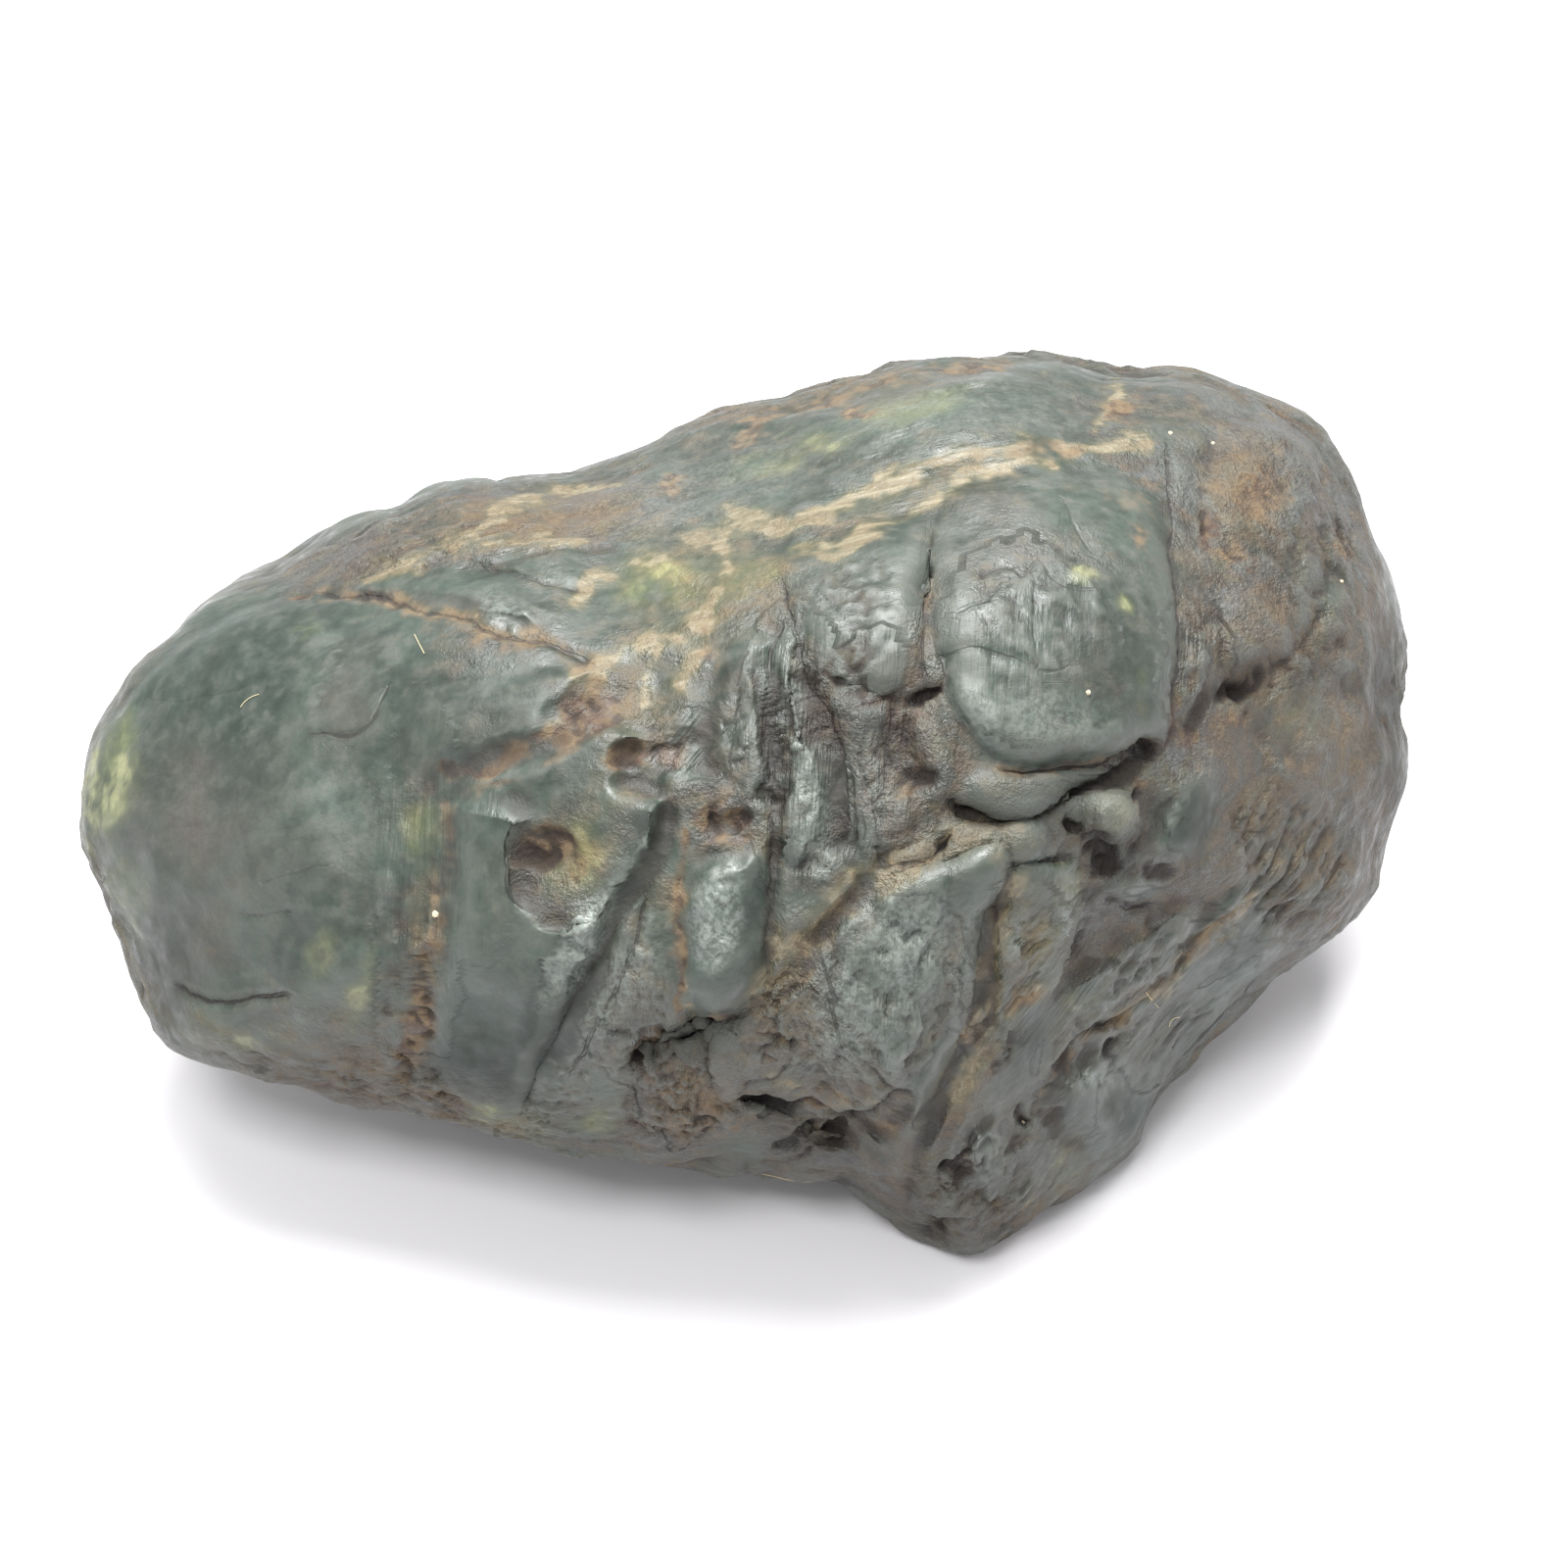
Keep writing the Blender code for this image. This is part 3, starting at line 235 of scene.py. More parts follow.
        (12.2, 10.4), (12.4, 12.6), (13.4, 15), (14.2, 13), (13.8, 10.8), (13, 10)]),
    "spine_low": (1.5, 1, 0.05, 0, [
        (-0.9, -6.4), (2.4, -6.2), (5, -4.6), (6.4, -6), (7.6, -8.6), (5.4, -10.8), (2.4, -12.6),
        (-0.6, -15.4), (-1, -11)]),
}

# The clefts and creases between them: (half width, depth, route).
CLEFTS = {
    "under_hook": (0.8, 0.9, [
        (-10.2, -0.8), (-11.2, -3.4), (-13.2, -7.4), (-15.6, -11.8), (-18, -16.2), (-20.6, -20.8),
        (-23.2, -24.6), (-24.6, -28.2)]),
    "under_egg": (1.3, 2.3, [(-13.4, -25), (-11.8, -22.2), (-8.6, -20.6), (-5.2, -20.4), (-2.6, -19)]),
    "fan_side": (0.5, 0.5, [
        (20.3, -5.4), (20.4, -9), (19.1, -12.4), (18.8, -17), (18.4, -20.4), (16.8, -25),
        (15.2, -27.8)]),
    "under_lip": (0.7, 1.9, [
        (15, -1), (17, -2), (20, -2.5), (23, -2), (25.4, -0.9), (28, 0.6), (30.6, 1.9),
        (33.6, 3)]),
    "right_slant": (0.8, 1.1, [
        (36, 4.6), (38.8, 7.8), (41.4, 10.2), (44.6, 11), (47.6, 13.8), (49.4, 17.6), (50, 21.6)]),
    "rust_slot": (0.9, 1.2, [(39.2, 33.4), (38.9, 30), (38.1, 27.2), (37.6, 24.4), (38.8, 22.6)]),
    "under_fan": (0.6, 1.2, [
        (-4.2, -27.6), (-2, -28.2), (0.2, -29.4), (3, -30.8), (5.6, -30.9), (8, -30.4),
        (10, -31.6)]),
    "shoulder_side": (0.8, 0.8, [(13.2, 20), (13.4, 17.6), (13.6, 15), (13.5, 11.8), (14.4, 8.6)]),
    "left_hem": (1.1, 0.8, [(-62.8, -9.4), (-60.8, -12), (-59.6, -15), (-59.2, -18.6), (-58.4, -21.4)]),
    "bottom_ledge": (0.9, 1, [
        (-45, -25.4), (-42, -26.8), (-38, -26.6), (-35, -28.2), (-31.4, -30.2), (-26.6, -31.2),
        (-22, -32.2)]),
    "fan_slot": (1.1, 1.8, [(14.9, -27.4), (13.4, -30.4), (12.2, -32.6), (11.6, -35.2), (11.2, -37.6)]),
    "sole_crack": (0.6, 0.8, [(-0.6, -32.9), (1.6, -31.8), (3.6, -31.6), (6.4, -32.2)]),
    "sole_low": (0.6, 0.7, [(1.6, -36), (4, -35.4), (6.6, -35.7), (7, -37)]),
}

# Pits, holes and broad hollows, as (s, t, reach along, reach across, turn in degrees, depth).
# A lump is a depth below 0.
HOLLOWS = {
    "recess": (10.6, 3.4, 4.2, 7, 8, 1.7),
    "recess_hole": (13, 8.9, 2, 0.8, 14, 1),
    "knob_hole": (29.4, -6.2, 2.4, 1.2, -14, 1.5),
    "knob_side": (26.6, -3.3, 1, 1.3, 0, 1.2),
    "slant_hole": (42.4, 9.4, 2, 1, 20, 1.2),
    "pebble_pit": (50.6, 24, 2.6, 2.1, 0, 2.2),
    "pebble": (51.4, 24.6, 1.6, 1.3, 0, -1.9),
    "green_pocket": (51.6, 10, 2.8, 2, -30, 1.2),
    "left_dip": (-40, 12, 7, 6, 40, 0.8),
    "left_belly": (-50, -6, 12, 14, 0, -1.4),
    "top_swell": (20, 35, 18, 7, 8, -1.6),
    "top_dip": (-6, 27, 9, 5, 20, 0.9),
    "veil": (-14, 9, 7, 5, 30, 0.8),
    "valley": (-35, -6, 4, 24, 0, 0.7),
    "knob_top": (33.3, -0.5, 1.1, 0.7, 10, 0.7),
    "band_slot": (14.9, -4.7, 1.9, 0.6, 38, 0.7),
    "saddle_pit": (-22.2, -5.3, 2.4, 1.6, 38, 0.6),
    "brow_pit": (-14.6, 3.6, 1.6, 1.6, 0, 0.7),
    "curl_pit": (-11.2, 3.8, 1.4, 1, 0, 0.4),
    "egg_pit": (-5.6, -2.6, 3, 1.5, 22, 0.7),
}

# The cells of the skin where no block is drawn, and the broad unevenness of the whole stone.
CELL_STRETCH = (0.62, 1.1, 1)
CELL_BEND = (14, 5)
CELLS = [(30, 2.4, 5, 41), (120, 0.8, 2.2, 57)]
UNEVEN = [(34, 1.8, 3), (15, 0.9, 5), (6.5, 0.42, 8)]
WANDER = [(7, 0.9, 11), (2.6, 0.45, 13)]

WORN_ROUNDS = 2
REST_ROUNDING = 2.2


# Fine cracks in the skin: (half width, depth, route).
# The depth also sets how dark their painted shade is.
CRACKS = {
    "mid_crease": (0.55, 0.30, [
        (-0.3, 15), (-1.3, 12), (-1.2, 8), (-1.3, 0), (-1.2, -4), (-1, -8), (-1, -12),
        (-1.8, -17)]),
    "spine_side": (0.55, 0.32, [
        (0, 18.5), (0.6, 15.5), (1.2, 12.5), (2, 10), (3.6, 8), (4.6, 5.5), (5.2, 2),
        (5.6, -5)]),
    "strand_side": (0.50, 0.40, [(5.8, 3), (6.2, -1), (6.5, -5)]),
    "strip_side": (0.50, 0.30, [(7, 3), (7.8, 0.4), (8.4, -3.4), (9.2, -6.4)]),
    "over_lip": (0.60, 0.70, [(20, 2.2), (23, 2.2), (27, 2.4), (30, 3.1), (34, 4.2)]),
    "crevice": (0.70, 0.80, [
        (15.4, -0.8), (16.6, -1.8), (18.6, -2.2), (20.4, -2.4), (23, -1.8), (24.6, -0.9), (27, 0),
        (29.2, 1.1), (31.4, 1.9), (33, 2.6), (34.8, 3.6)]),
    "bulge_side": (0.50, 0.30, [
        (35.2, 31), (35.6, 25), (36.2, 18), (36.2, 12), (36.1, 7), (35.4, 4)]),
    "rusty_crease": (0.60, 0.28, [
        (-43, 19), (-38, 18.6), (-34, 17.7), (-30, 16.4), (-26.6, 15.2), (-22, 14.2),
        (-18.4, 13.2)]),
    "bulge_long": (0.50, 0.20, [
        (14.8, 12.4), (16, 12.7), (17.6, 13.1), (19, 12.6), (20.6, 12.3), (22, 11.8), (23.6, 10.9),
        (24.6, 10.9), (25.8, 11.3)]),
    "bulge_short": (0.50, 0.22, [(16.4, 16.2), (17.6, 16.6), (18.8, 16.9), (19.6, 17.6)]),
    "bulge_wavy": (0.50, 0.20, [
        (18.2, 18.8), (19.4, 19.6), (20.6, 19.9), (21.4, 19), (22.4, 20.2), (23, 20.8), (23.8, 19.8),
        (24.8, 18.8), (26, 18.3), (27.8, 18.2)]),
    "bulge_upright": (0.45, 0.10, [(22.6, 19), (22.6, 14), (23.6, 11)]),
    "bulge_brow": (0.50, 0.15, [(25.5, 26), (26.6, 23.6), (28, 21.5)]),
    "column_side": (0.50, 0.35, [(13.4, 22.6), (13.2, 19), (12.8, 16), (12.6, 13), (12.9, 10.6)]),
    "dome_ledge": (0.70, 0.45, [(-55.6, -18), (-53, -19), (-50, -19.4), (-46.6, -19)]),
    "dome_nick": (0.50, 0.15, [(-48, -8), (-45, -7.5), (-42.5, -7)]),
    "dome_low": (0.50, 0.15, [(-50, -11.3), (-46, -11)]),
    "dome_high": (0.50, 0.12, [(-58, 8.3), (-55, 8.5), (-51, 9.5)]),
    "dome_slant": (0.60, 0.25, [(-43.5, 5.5), (-40, 6), (-37, 10)]),
    "scale_arc": (0.55, 0.50, [(30.5, -10.5), (32.5, -11.5), (34, -11)]),
    "chip_line": (0.50, 0.45, [(20.5, -6.3), (23.5, -6.2), (26.5, -6)]),
    "band_line": (0.45, 0.40, [(9.6, -6.6), (11, -6.2), (12.5, -6)]),
    "band_slot": (0.55, 0.60, [(13.4, -6), (14.4, -4.8), (15.6, -3.6)]),
    "fan_right": (0.50, 0.35, [
        (20, -7), (19.8, -10), (18.4, -12), (18.1, -18), (17, -23), (15, -27),
        (14, -29), (12.4, -31)]),
    "fan_ridge": (0.50, 0.20, [(14.8, -8), (14.6, -12), (13, -16), (12, -18), (11.4, -22)]),
    "fan_rim": (0.50, 0.45, [(6.2, -22.6), (7, -24), (8.4, -25.6), (10, -28)]),
    "fan_left": (0.50, 0.35, [(-3.4, -26.4), (-1, -26.4), (0.2, -25)]),
    "fan_foot": (0.60, 0.70, [
        (-3.6, -28), (-1.4, -28.6), (0.4, -29.2), (2.4, -28.8), (5, -30.2), (7.4, -30),
        (10, -28.4), (11.6, -28.2)]),
    "foot_ledge": (0.60, 0.60, [(-0.6, -33), (0.6, -32.2), (2.6, -31)]),
    "foot_middle": (0.55, 0.50, [(-1.8, -34.4), (1, -33.8), (2.2, -33)]),
    "foot_low": (0.55, 0.60, [(2, -35.8), (5.6, -35.4), (6.6, -37), (7.6, -36.6)]),
    "rail_crack": (0.60, 0.70, [(26, -25.6), (27.4, -24), (29.6, -22), (31.4, -21.4)]),
    "rail_seam": (0.50, 0.25, [(31.4, -21.2), (34.4, -19.2), (36, -17), (38, -14), (42.5, -10.5)]),
    "shard_edge": (0.50, 0.45, [(16.4, -33.8), (17.6, -31.4)]),
    "wedge_line": (0.55, 0.35, [(-13, -10), (-14, -15), (-16.4, -20), (-19, -25)]),
    "top_line": (0.60, 0.20, [(-18, 24.5), (-11, 27.5), (-4, 29.5)]),
    "lens_line": (0.50, 0.20, [(-27, 20.8), (-23, 20.2), (-19, 19.6)]),
}

# Veins of pale mineral, as (half width, strength, route).
VEINS = {
    "upper": (0.95, 1, [
        (-1, 24.4), (4, 25.3), (8, 27), (12, 28.4), (16, 29.5), (20, 30), (24, 30.3),
        (28, 30.8), (33, 31.8)]),
    "lower": (0.8, 0.9, [
        (1, 21.8), (5, 22.2), (8, 23.2), (12, 25), (16, 27), (20, 28.3), (25, 29)]),
    "top_cross": (0.7, 0.95, [(29, 33.5), (30.5, 36), (31, 38)]),
    "net_level": (1.2, 0.9, [(-9, 24), (-5, 25), (-2, 25), (0.5, 24.4)]),
    "net_upright": (1.3, 0.95, [(-6, 24.6), (-6, 20), (-7.5, 17), (-8.5, 13), (-9.5, 10.5)]),
    "net_left": (1.1, 0.85, [(-18.8, 18.6), (-17.5, 20.5), (-15.6, 20.2), (-14, 21.5), (-12, 22.5)]),
    "net_low": (1.2, 0.9, [(-18.4, 12.6), (-15, 13.6), (-12, 14.8), (-9.6, 15)]),
    "crown": (0.75, 0.95, [
        (-38.6, 20.6), (-36, 21.5), (-31.3, 22.4), (-27.8, 24.8), (-25.5, 27.1), (-20.8, 28.3),
        (-16, 29)]),
    "crown_inner": (0.7, 0.9, [(-31.3, 22.4), (-27, 23.2), (-22.6, 24.2), (-19, 23.6)]),
    "fan_top": (1.9, 1, [(8.4, -8), (12, -6), (16, -4.6), (20.4, -3.6)]),
    "band_low": (1.5, 0.8, [(-2.4, -17.6), (0.6, -14.2), (4.6, -11.4), (7.6, -7.6)]),
    "post_vein": (1.5, 0.9, [
        (20.8, -8), (20, -11), (19.3, -15), (19, -20), (17.8, -24.4), (16, -27.6)]),
    "slant_vein": (0.8, 0.95, [
        (43.4, -9.8), (41.6, -11.6), (38, -14), (36, -17), (34.4, -19.2), (31.4, -21.2)]),
    "over_plate": (0.8, 0.65, [(-21.5, 5.6), (-17.6, 8.6), (-16.6, 12)]),
    "under_lens": (0.7, 0.65, [(-36, 18.5), (-30, 16.6), (-24, 14.8), (-18.6, 13.3), (-14, 13.4)]),
    "egg_side": (0.6, 0.5, [(-10, -6), (-10.1, -11), (-9.4, -16), (-8.4, -20.2)]),
    "net_drop": (0.8, 0.85, [(-11.6, 14), (-12.6, 11), (-13, 8.6)]),
    "low_gold": (1.4, 1, [(16.4, -27), (17.6, -24.4), (19.2, -22.4)]),
    "post_gold": (1, 0.9, [(21.4, -20.6), (23, -19.2), (24.4, -18)]),
    "slant_gold": (0.9, 0.8, [(25.6, -17.4), (27.6, -16)]),
    "foot_cream": (0.9, 0.7, [(22.4, -38.8), (24.4, -38), (26.4, -36.4)]),
    "fan_bottom": (0.9, 0.8, [(-1.6, -25.6), (1.6, -27.4), (5, -28.6), (8, -28.8)]),
}

# Places with pale or yellow-green, half clear jade, each as a turned oval:
# (s, t, reach along, reach across, turn in degrees, strength).
MOSS = {
    # At the thin left edge the pale green is partly painted light shining through the jade.
    "left_edge": (-65, 2.2, 7.4, 10.5, 0, 1.35),
    "left_low_edge": (-61, -10, 3, 7, 10, 0.55),
    "lens_streak": (-45, 16, 3.6, 1.4, 24, 0.7),
    "valley_clear": (-43.3, -15.6, 2.2, 6.8, -10, 0.5),
    "valley_foot": (-48, -22.8, 4.6, 2.4, 0, 0.75),
    "valley_slip": (-39.4, -18.5, 1.5, 5.4, -14, 0.6),
    "plate_side": (-34, -4, 2, 4, 0, 0.65),
    "bulge_eye": (27.4, 19.1, 2.4, 1, -8, 1.2),
    "bulge_olive": (31, 17.3, 1.7, 1.6, 0, 0.9),
    "bulge_flank": (33.4, 9, 1.8, 6, 0, 0.45),
    "hook_hollow": (-18.6, -6, 6, 4, 55, 0.95),
    "hook_foot": (-25.5, -29.4, 6, 2, -10, 0.85),
    "pad_green": (-12, 20.6, 5.6, 4.4, 20, 0.65),
    "shoulder_top": (-3, 19.6, 4.4, 4, 0, 0.45),
    "crown_spots": (0.5, 31, 9, 2.6, 10, 0.6),
    "top_band": (12, 34.6, 9, 2.4, 8, 0.45),
    "lip_side": (25, -0.2, 3, 1, 8, 0.45),
    "slant_green": (26.6, -8.6, 3.6, 4.6, 20, 0.5),
    "fan_low": (5, -30.6, 6, 1.6, 0, 0.5),
    "right_olive": (47.6, 7, 5, 5, 0, 0.45),
    "left_foot": (-52.5, -21.8, 5, 2, -8, 0.5),
    "wedge_foot": (-17, -30.4, 5, 1.8, -6, 0.55),
    "knob": (30.2, -2, 3, 2.6, 0, 0.7),
    "post_moss": (23.6, -12, 2.6, 6, 10, 0.5),
    "low_moss": (27.6, -19, 4, 2.4, 40, 0.5),
    "heel_moss": (26, -34.6, 3, 3.4, 0, 0.5),
}

# Places where the jade is deep and dark, and places painted darker as shade, in the same terms.
DARK_JADE_AND_SHADE = {
    # Painted shade lies under the lip, the egg and the fan, in the holes and on flanks turned from the
    # light;
    # on the bulge and the shoulder it dulls the sheen that the lamp puts there.
    "hook_flank": (-21.4, -21, 4, 10, -26, 1),
    "hook_toe": (-27, -24.6, 7, 5.6, 0, 0.8),
    "bulge": (27, 13, 10, 9, 0, 0.35),
    "shoulder": (7, 17.6, 7, 5, 0, 0.35),
    "right_end": (57, 6, 5, 13, 0, 0.7),
    "foot": (-42, -27, 20, 4.4, -8, 0.3),
    "left_foot": (-56, -18, 6, 8, 0, 0.4),
    "green_end": (32.2, -30.6, 2.4, 5, 15, 0.7),
    "tongue": (37.6, -2, 3, 5.4, -10, 0.8),
    "fan_side": (17.4, -15, 2, 11, 4, 0.1),
    "fan_low": (13.6, -27, 2.4, 6, -24, 0.3),
    "shoulder_low": (7, 11.6, 6, 3.6, -10, 0.7),
    "recess": (9.6, 4.4, 4.6, 8, 8, 0.25),
    "under_lip": (24, -1.2, 9, 3.6, 12, 1),
    "knob": (31, -5, 4.4, 2.8, 0, 0.9),
    "under_egg": (-8, -22.4, 6.4, 2, 14, 0.9),
    "under_fan": (4, -32, 8, 2.4, -8, 0.5),
    "egg_side": (-2.2, -13, 2, 7.6, 0, 0.7),
    "strand": (4.6, -1, 1.8, 7, -14, 0.1),
    "right_green": (48.6, 12, 3.4, 4, 0, 0.8),
    "tip": (16, -37.6, 9, 5.6, 20, 0.35),
    "post_low": (22.4, -24, 3, 6, -20, 0.4),
    "right_low": (44, -12, 8, 3, 45, 0.3),
    "right_hole": (42, 9.4, 3, 2, 20, 0.9),
    "low_warm": (25, -27, 9, 7, 30, 0.18),
    "foot_warm": (-20, -30, 8, 3, -14, 0.2),
}

# Places painted with white highlights where the broken fibres catch the light, in the same terms.
PAINTED_HIGHLIGHTS = {
    "egg": (-6, -11.6, 5.6, 3, 84, 1.1),
    "hook_ridge": (-18.2, -13, 8.6, 1.8, 59, 1),
    "hook_top": (-12.8, -4.6, 3.6, 0.7, 60, 0.6),
    "spine": (2.4, -1, 9, 2.4, -78, 0.8),
    "spine_high": (0.8, 8, 6, 1.2, -80, 0.55),
    "fan": (11, -14, 9, 6, -80, 0.7),
    "fan_low": (5.6, -20.6, 7, 6, -60, 0.6),
    "green_end": (29.4, -26.4, 2.2, 1.2, -20, 0.6),
    "post": (21.4, -13.4, 2.2, 1.2, 80, 0.5),
    "slant": (25.8, -11.6, 2.4, 1.2, 70, 0.45),
    "lens_end": (-25, 17.2, 4, 1.4, -12, 0.5),
    "wedge": (-14.8, -17.4, 8, 2.6, 62, 0.6),
    "knob": (29.6, -1.6, 1.2, 1, 0, 0.2),
    "recess": (8.6, 1, 6, 3, -80, 0.45),
    "bulge_slant": (18.6, 8, 3.6, 1.8, -60, 0.7),
    "crown": (-8, 28, 12, 6, 10, 0.22),
    "top": (16, 34, 16, 6, 8, 0.16),
    "bulge_low": (25, 7, 7, 3, 0, 0.40),
    "fan_strip": (16.4, -15, 8, 2, 82, 0.4),
}

# Smooth places among the broken ones, in the same terms.
SMOOTH = {
    "fan_side": (18, -12, 1.9, 9.4, 4, 1.6),
    "fan_side_low": (14.6, -26.4, 1.9, 7.4, -24, 1.6),
    "green_end": (31.6, -29.6, 2.8, 5.4, 15, 1.4),
    "tongue": (37.6, -2, 2.6, 5.2, -10, 1.4),
    "hook_flank": (-19.8, -19, 3, 10, -28, 1.6),
    "strand": (5, 1, 1.4, 6, -14, 1),
    "scale": (33.4, -9.2, 3, 2.2, 0, 1),
    "chip": (22.6, -6.4, 1.8, 2.2, 0, 1),
    "shard": (18.4, -33.4, 2, 3.4, -12, 1.2),
    "slant": (24, -25, 1.8, 5.6, -16, 1),
    "rail": (40, -16.4, 2.2, 6, -44, 1),
    "dome": (-48, 8, 16, 14, 0, 1),
}

# Places where the skin is crumpled and shines, whose ridges also get a painted highlight, in the same
# terms.
CRUMPLED = {
    "hook_ridge": (-19.6, -14.2, 6.4, 2.3, 62, 1),
    "hook_top": (-13.6, -6.4, 4.6, 1, 62, 0.8),
    "egg": (-5.8, -11.2, 5.6, 2.8, 84, 1),
    "spine_high": (1.6, 1, 5, 2, -80, 1),
    "spine_low": (3, -6, 5, 2.4, -76, 0.9),
    "spine_top": (1.6, 9.6, 5, 1.4, -70, 0.7),
    "shoulder": (7.6, 16, 6, 6, -20, 0.8),
    "shoulder_foot": (6.6, 11.4, 4, 2.4, 0, 0.9),
    "bulge_slant": (18.4, 8.4, 5.4, 3, -55, 1),
    "bulge_mouth": (27.4, 6.4, 5, 1.5, 6, 0.9),
    "bulge_mark": (23, 15, 8, 7, 0, 0.7),
    "lip": (22, -0.2, 4, 1.5, 6, 0.8),
    "fan": (11.4, -13, 6.8, 4.4, -82, 1),
    "fan_low": (8.6, -22.6, 5, 4.4, 0, 0.7),
    "fan_left": (2, -21, 5, 6, 0, 0.5),
    "chip": (21.8, -12.4, 3, 1.6, 80, 0.9),
    "post": (25.6, -11.2, 4, 2, 70, 0.8),
    "green_end": (29.6, -26.2, 3.4, 2.6, -20, 0.9),
    "wedge": (-12.4, -15, 8, 2.6, 80, 0.6),
    "wedge_low": (-18.4, -25.4, 6, 3.6, 40, 0.6),
    "lens_end": (-25.4, 17, 3.4, 1.8, -14, 0.9),
    "dome_crease": (-42.6, 10.4, 7, 2, 60, 0.6),
    "swirl": (-4.4, 6.6, 6, 3, 90, 0.7),
    "slant": (31, -17.6, 7, 3, 46, 0.6),
    "tip": (18.6, -33.6, 5, 3.6, 50, 0.7),
    "column": (-10.4, -27.4, 4.6, 3, 90, 0.5),
    "tongue": (35.4, -2.4, 5, 1.6, 70, 0.7),
    "slab": (38.4, 12, 6, 2.4, 90, 0.5),
    "knob": (30.4, -2, 3, 3, 0, 0.6),
}

# Rust and golden earth: patches, then lines as (half width, strength, route).
RUST = {
    "pitted": (-17.6, 8, 4.4, 3.6, 40, 1),
    "pitted_low": (-20, 4.6, 4, 1.3, 30, 0.7),
    "saddle_pit": (-22.6, -5.2, 2.6, 1.8, 40, 1),
    "saddle_low": (-20.2, -5.6, 1.8, 3.4, 20, 0.7),
    "brow_pit": (-14, 3.6, 3.4, 1.6, 10, 0.8),
    "egg_pit": (-5.6, -2.6, 3.6, 1.9, 24, 0.85),
    "valley": (-34.2, -22, 1.9, 6.6, -6, 1),
    "valley_top": (-33.2, -15.4, 1.1, 2, 0, 0.8),
    "lens_end": (-45, 18.8, 1.4, 0.8, 0, 0.8),
    "crown_spot": (-10.5, 29.3, 1.6, 1, 0, 0.8),
    "top_spot": (7, 34.3, 2.4, 1, 0, 0.7),
    "hook_top": (-27.4, 0.9, 3.6, 0.9, 12, 0.6),
    "egg_streak": (-5.5, -4.2, 3, 0.8, 14, 0.8),
    "swirl_side": (-7.4, 14, 1.4, 4, 10, 0.5),
    "post_top": (18.2, -24, 1.2, 3.6, 10, 0.8),
    "cheek_top": (23, -19, 2.4, 1, 10, 0.75),
    "fan_foot": (3, -28.6, 4, 1.3, 0, 0.7),
    "fan_foot_right": (9.6, -31, 2.6, 1, 0, 0.55),
    "recess_a": (8.5, 2, 1.2, 0.9, 0, 0.7),
    "recess_b": (12, 2.5, 1.2, 0.8, 0, 0.7),
    "recess_c": (11, 0.5, 1.4, 0.9, 0, 0.8),
    "vein_orange": (24, 30.2, 6, 1.1, 4, 0.6),
    "top_orange": (30.5, 34.6, 1.6, 1.2, 0, 0.85),
    "bulge_top": (31.6, 26.6, 3, 1.4, -20, 0.55),
    "crack_gold": (33, 23.5, 0.9, 2.2, 10, 0.6),
    "column_gold": (13.2, 18.6, 1, 2.4, 0, 0.65),
    "right_a": (38.8, 24.6, 1.5, 3, 0, 0.95),
    "right_b": (42, 22.4, 2.6, 0.9, -14, 0.7),
    "right_red": (43.6, 28, 3, 3.6, 0, 0.6),
    "right_c": (42, 7.4, 1.8, 1.6, 0, 0.7),
    "right_d": (47.5, 13, 1.4, 0.9, 30, 0.7),
    "pebble_gold": (51, 22.4, 2.4, 1, -20, 1.1),
    "right_e": (56, 6, 1, 2, 0, 0.6),
    "right_f": (37.4, 4.8, 1.6, 1.8, 30, 0.7),
    "knob_gold": (33.6, 0.4, 1.8, 1, 20, 0.6),
    "foot_gold": (-4.6, -31.6, 1.4, 0.8, 0, 0.5),
    "wedge_gold": (-10.4, -13, 0.7, 7, 0, 0.55),
    "left_gold": (-30.6, -27.6, 3, 1, -16, 0.6),
}
RUST_LINES = {
    "top_edge": (0.9, 0.6, [(2, 36), (6, 37), (13, 38), (20, 38.6)]),
    "top_inner": (0.8, 0.55, [(-5, 32), (0, 34.8), (6, 35.8)]),
    "under_plate": (0.7, 0.85, [(-31.5, 1.6), (-28, 2.6), (-25.5, 3.6), (-20.5, 5.5)]),
    "crease": (1.1, 0.50, [
        (-43, 19), (-38, 18.6), (-34, 17.7), (-30, 16.4), (-26.6, 15.2), (-22, 14.2),
        (-18.4, 13.2)]),
    "seam": (0.6, 0.8, [(-9.6, -4.4), (-9.9, -9), (-9.7, -14), (-9.8, -19.5)]),
    "band": (0.8, 0.5, [
        (-2.6, -18.8), (1, -14.6), (5, -11.6), (8, -7.2), (12, -5.6), (19, -3.4)]),
    "bulge_foot": (0.7, 0.6, [(19, 2.6), (24, 2.2), (29, 3.4), (34.6, 4.4), (36.4, 8)]),
    "slant": (0.7, 0.55, [(41, -11.8), (36, -16.2), (31, -21.8), (26, -26.2)]),
    "hook_left": (0.7, 0.4, [(-31.8, -1), (-32.2, -8), (-32.6, -14), (-33, -19)]),
    "foot": (0.6, 0.6, [(-14, -24), (-11.6, -22), (-8.4, -20.8), (-4.6, -20.6)]),
}

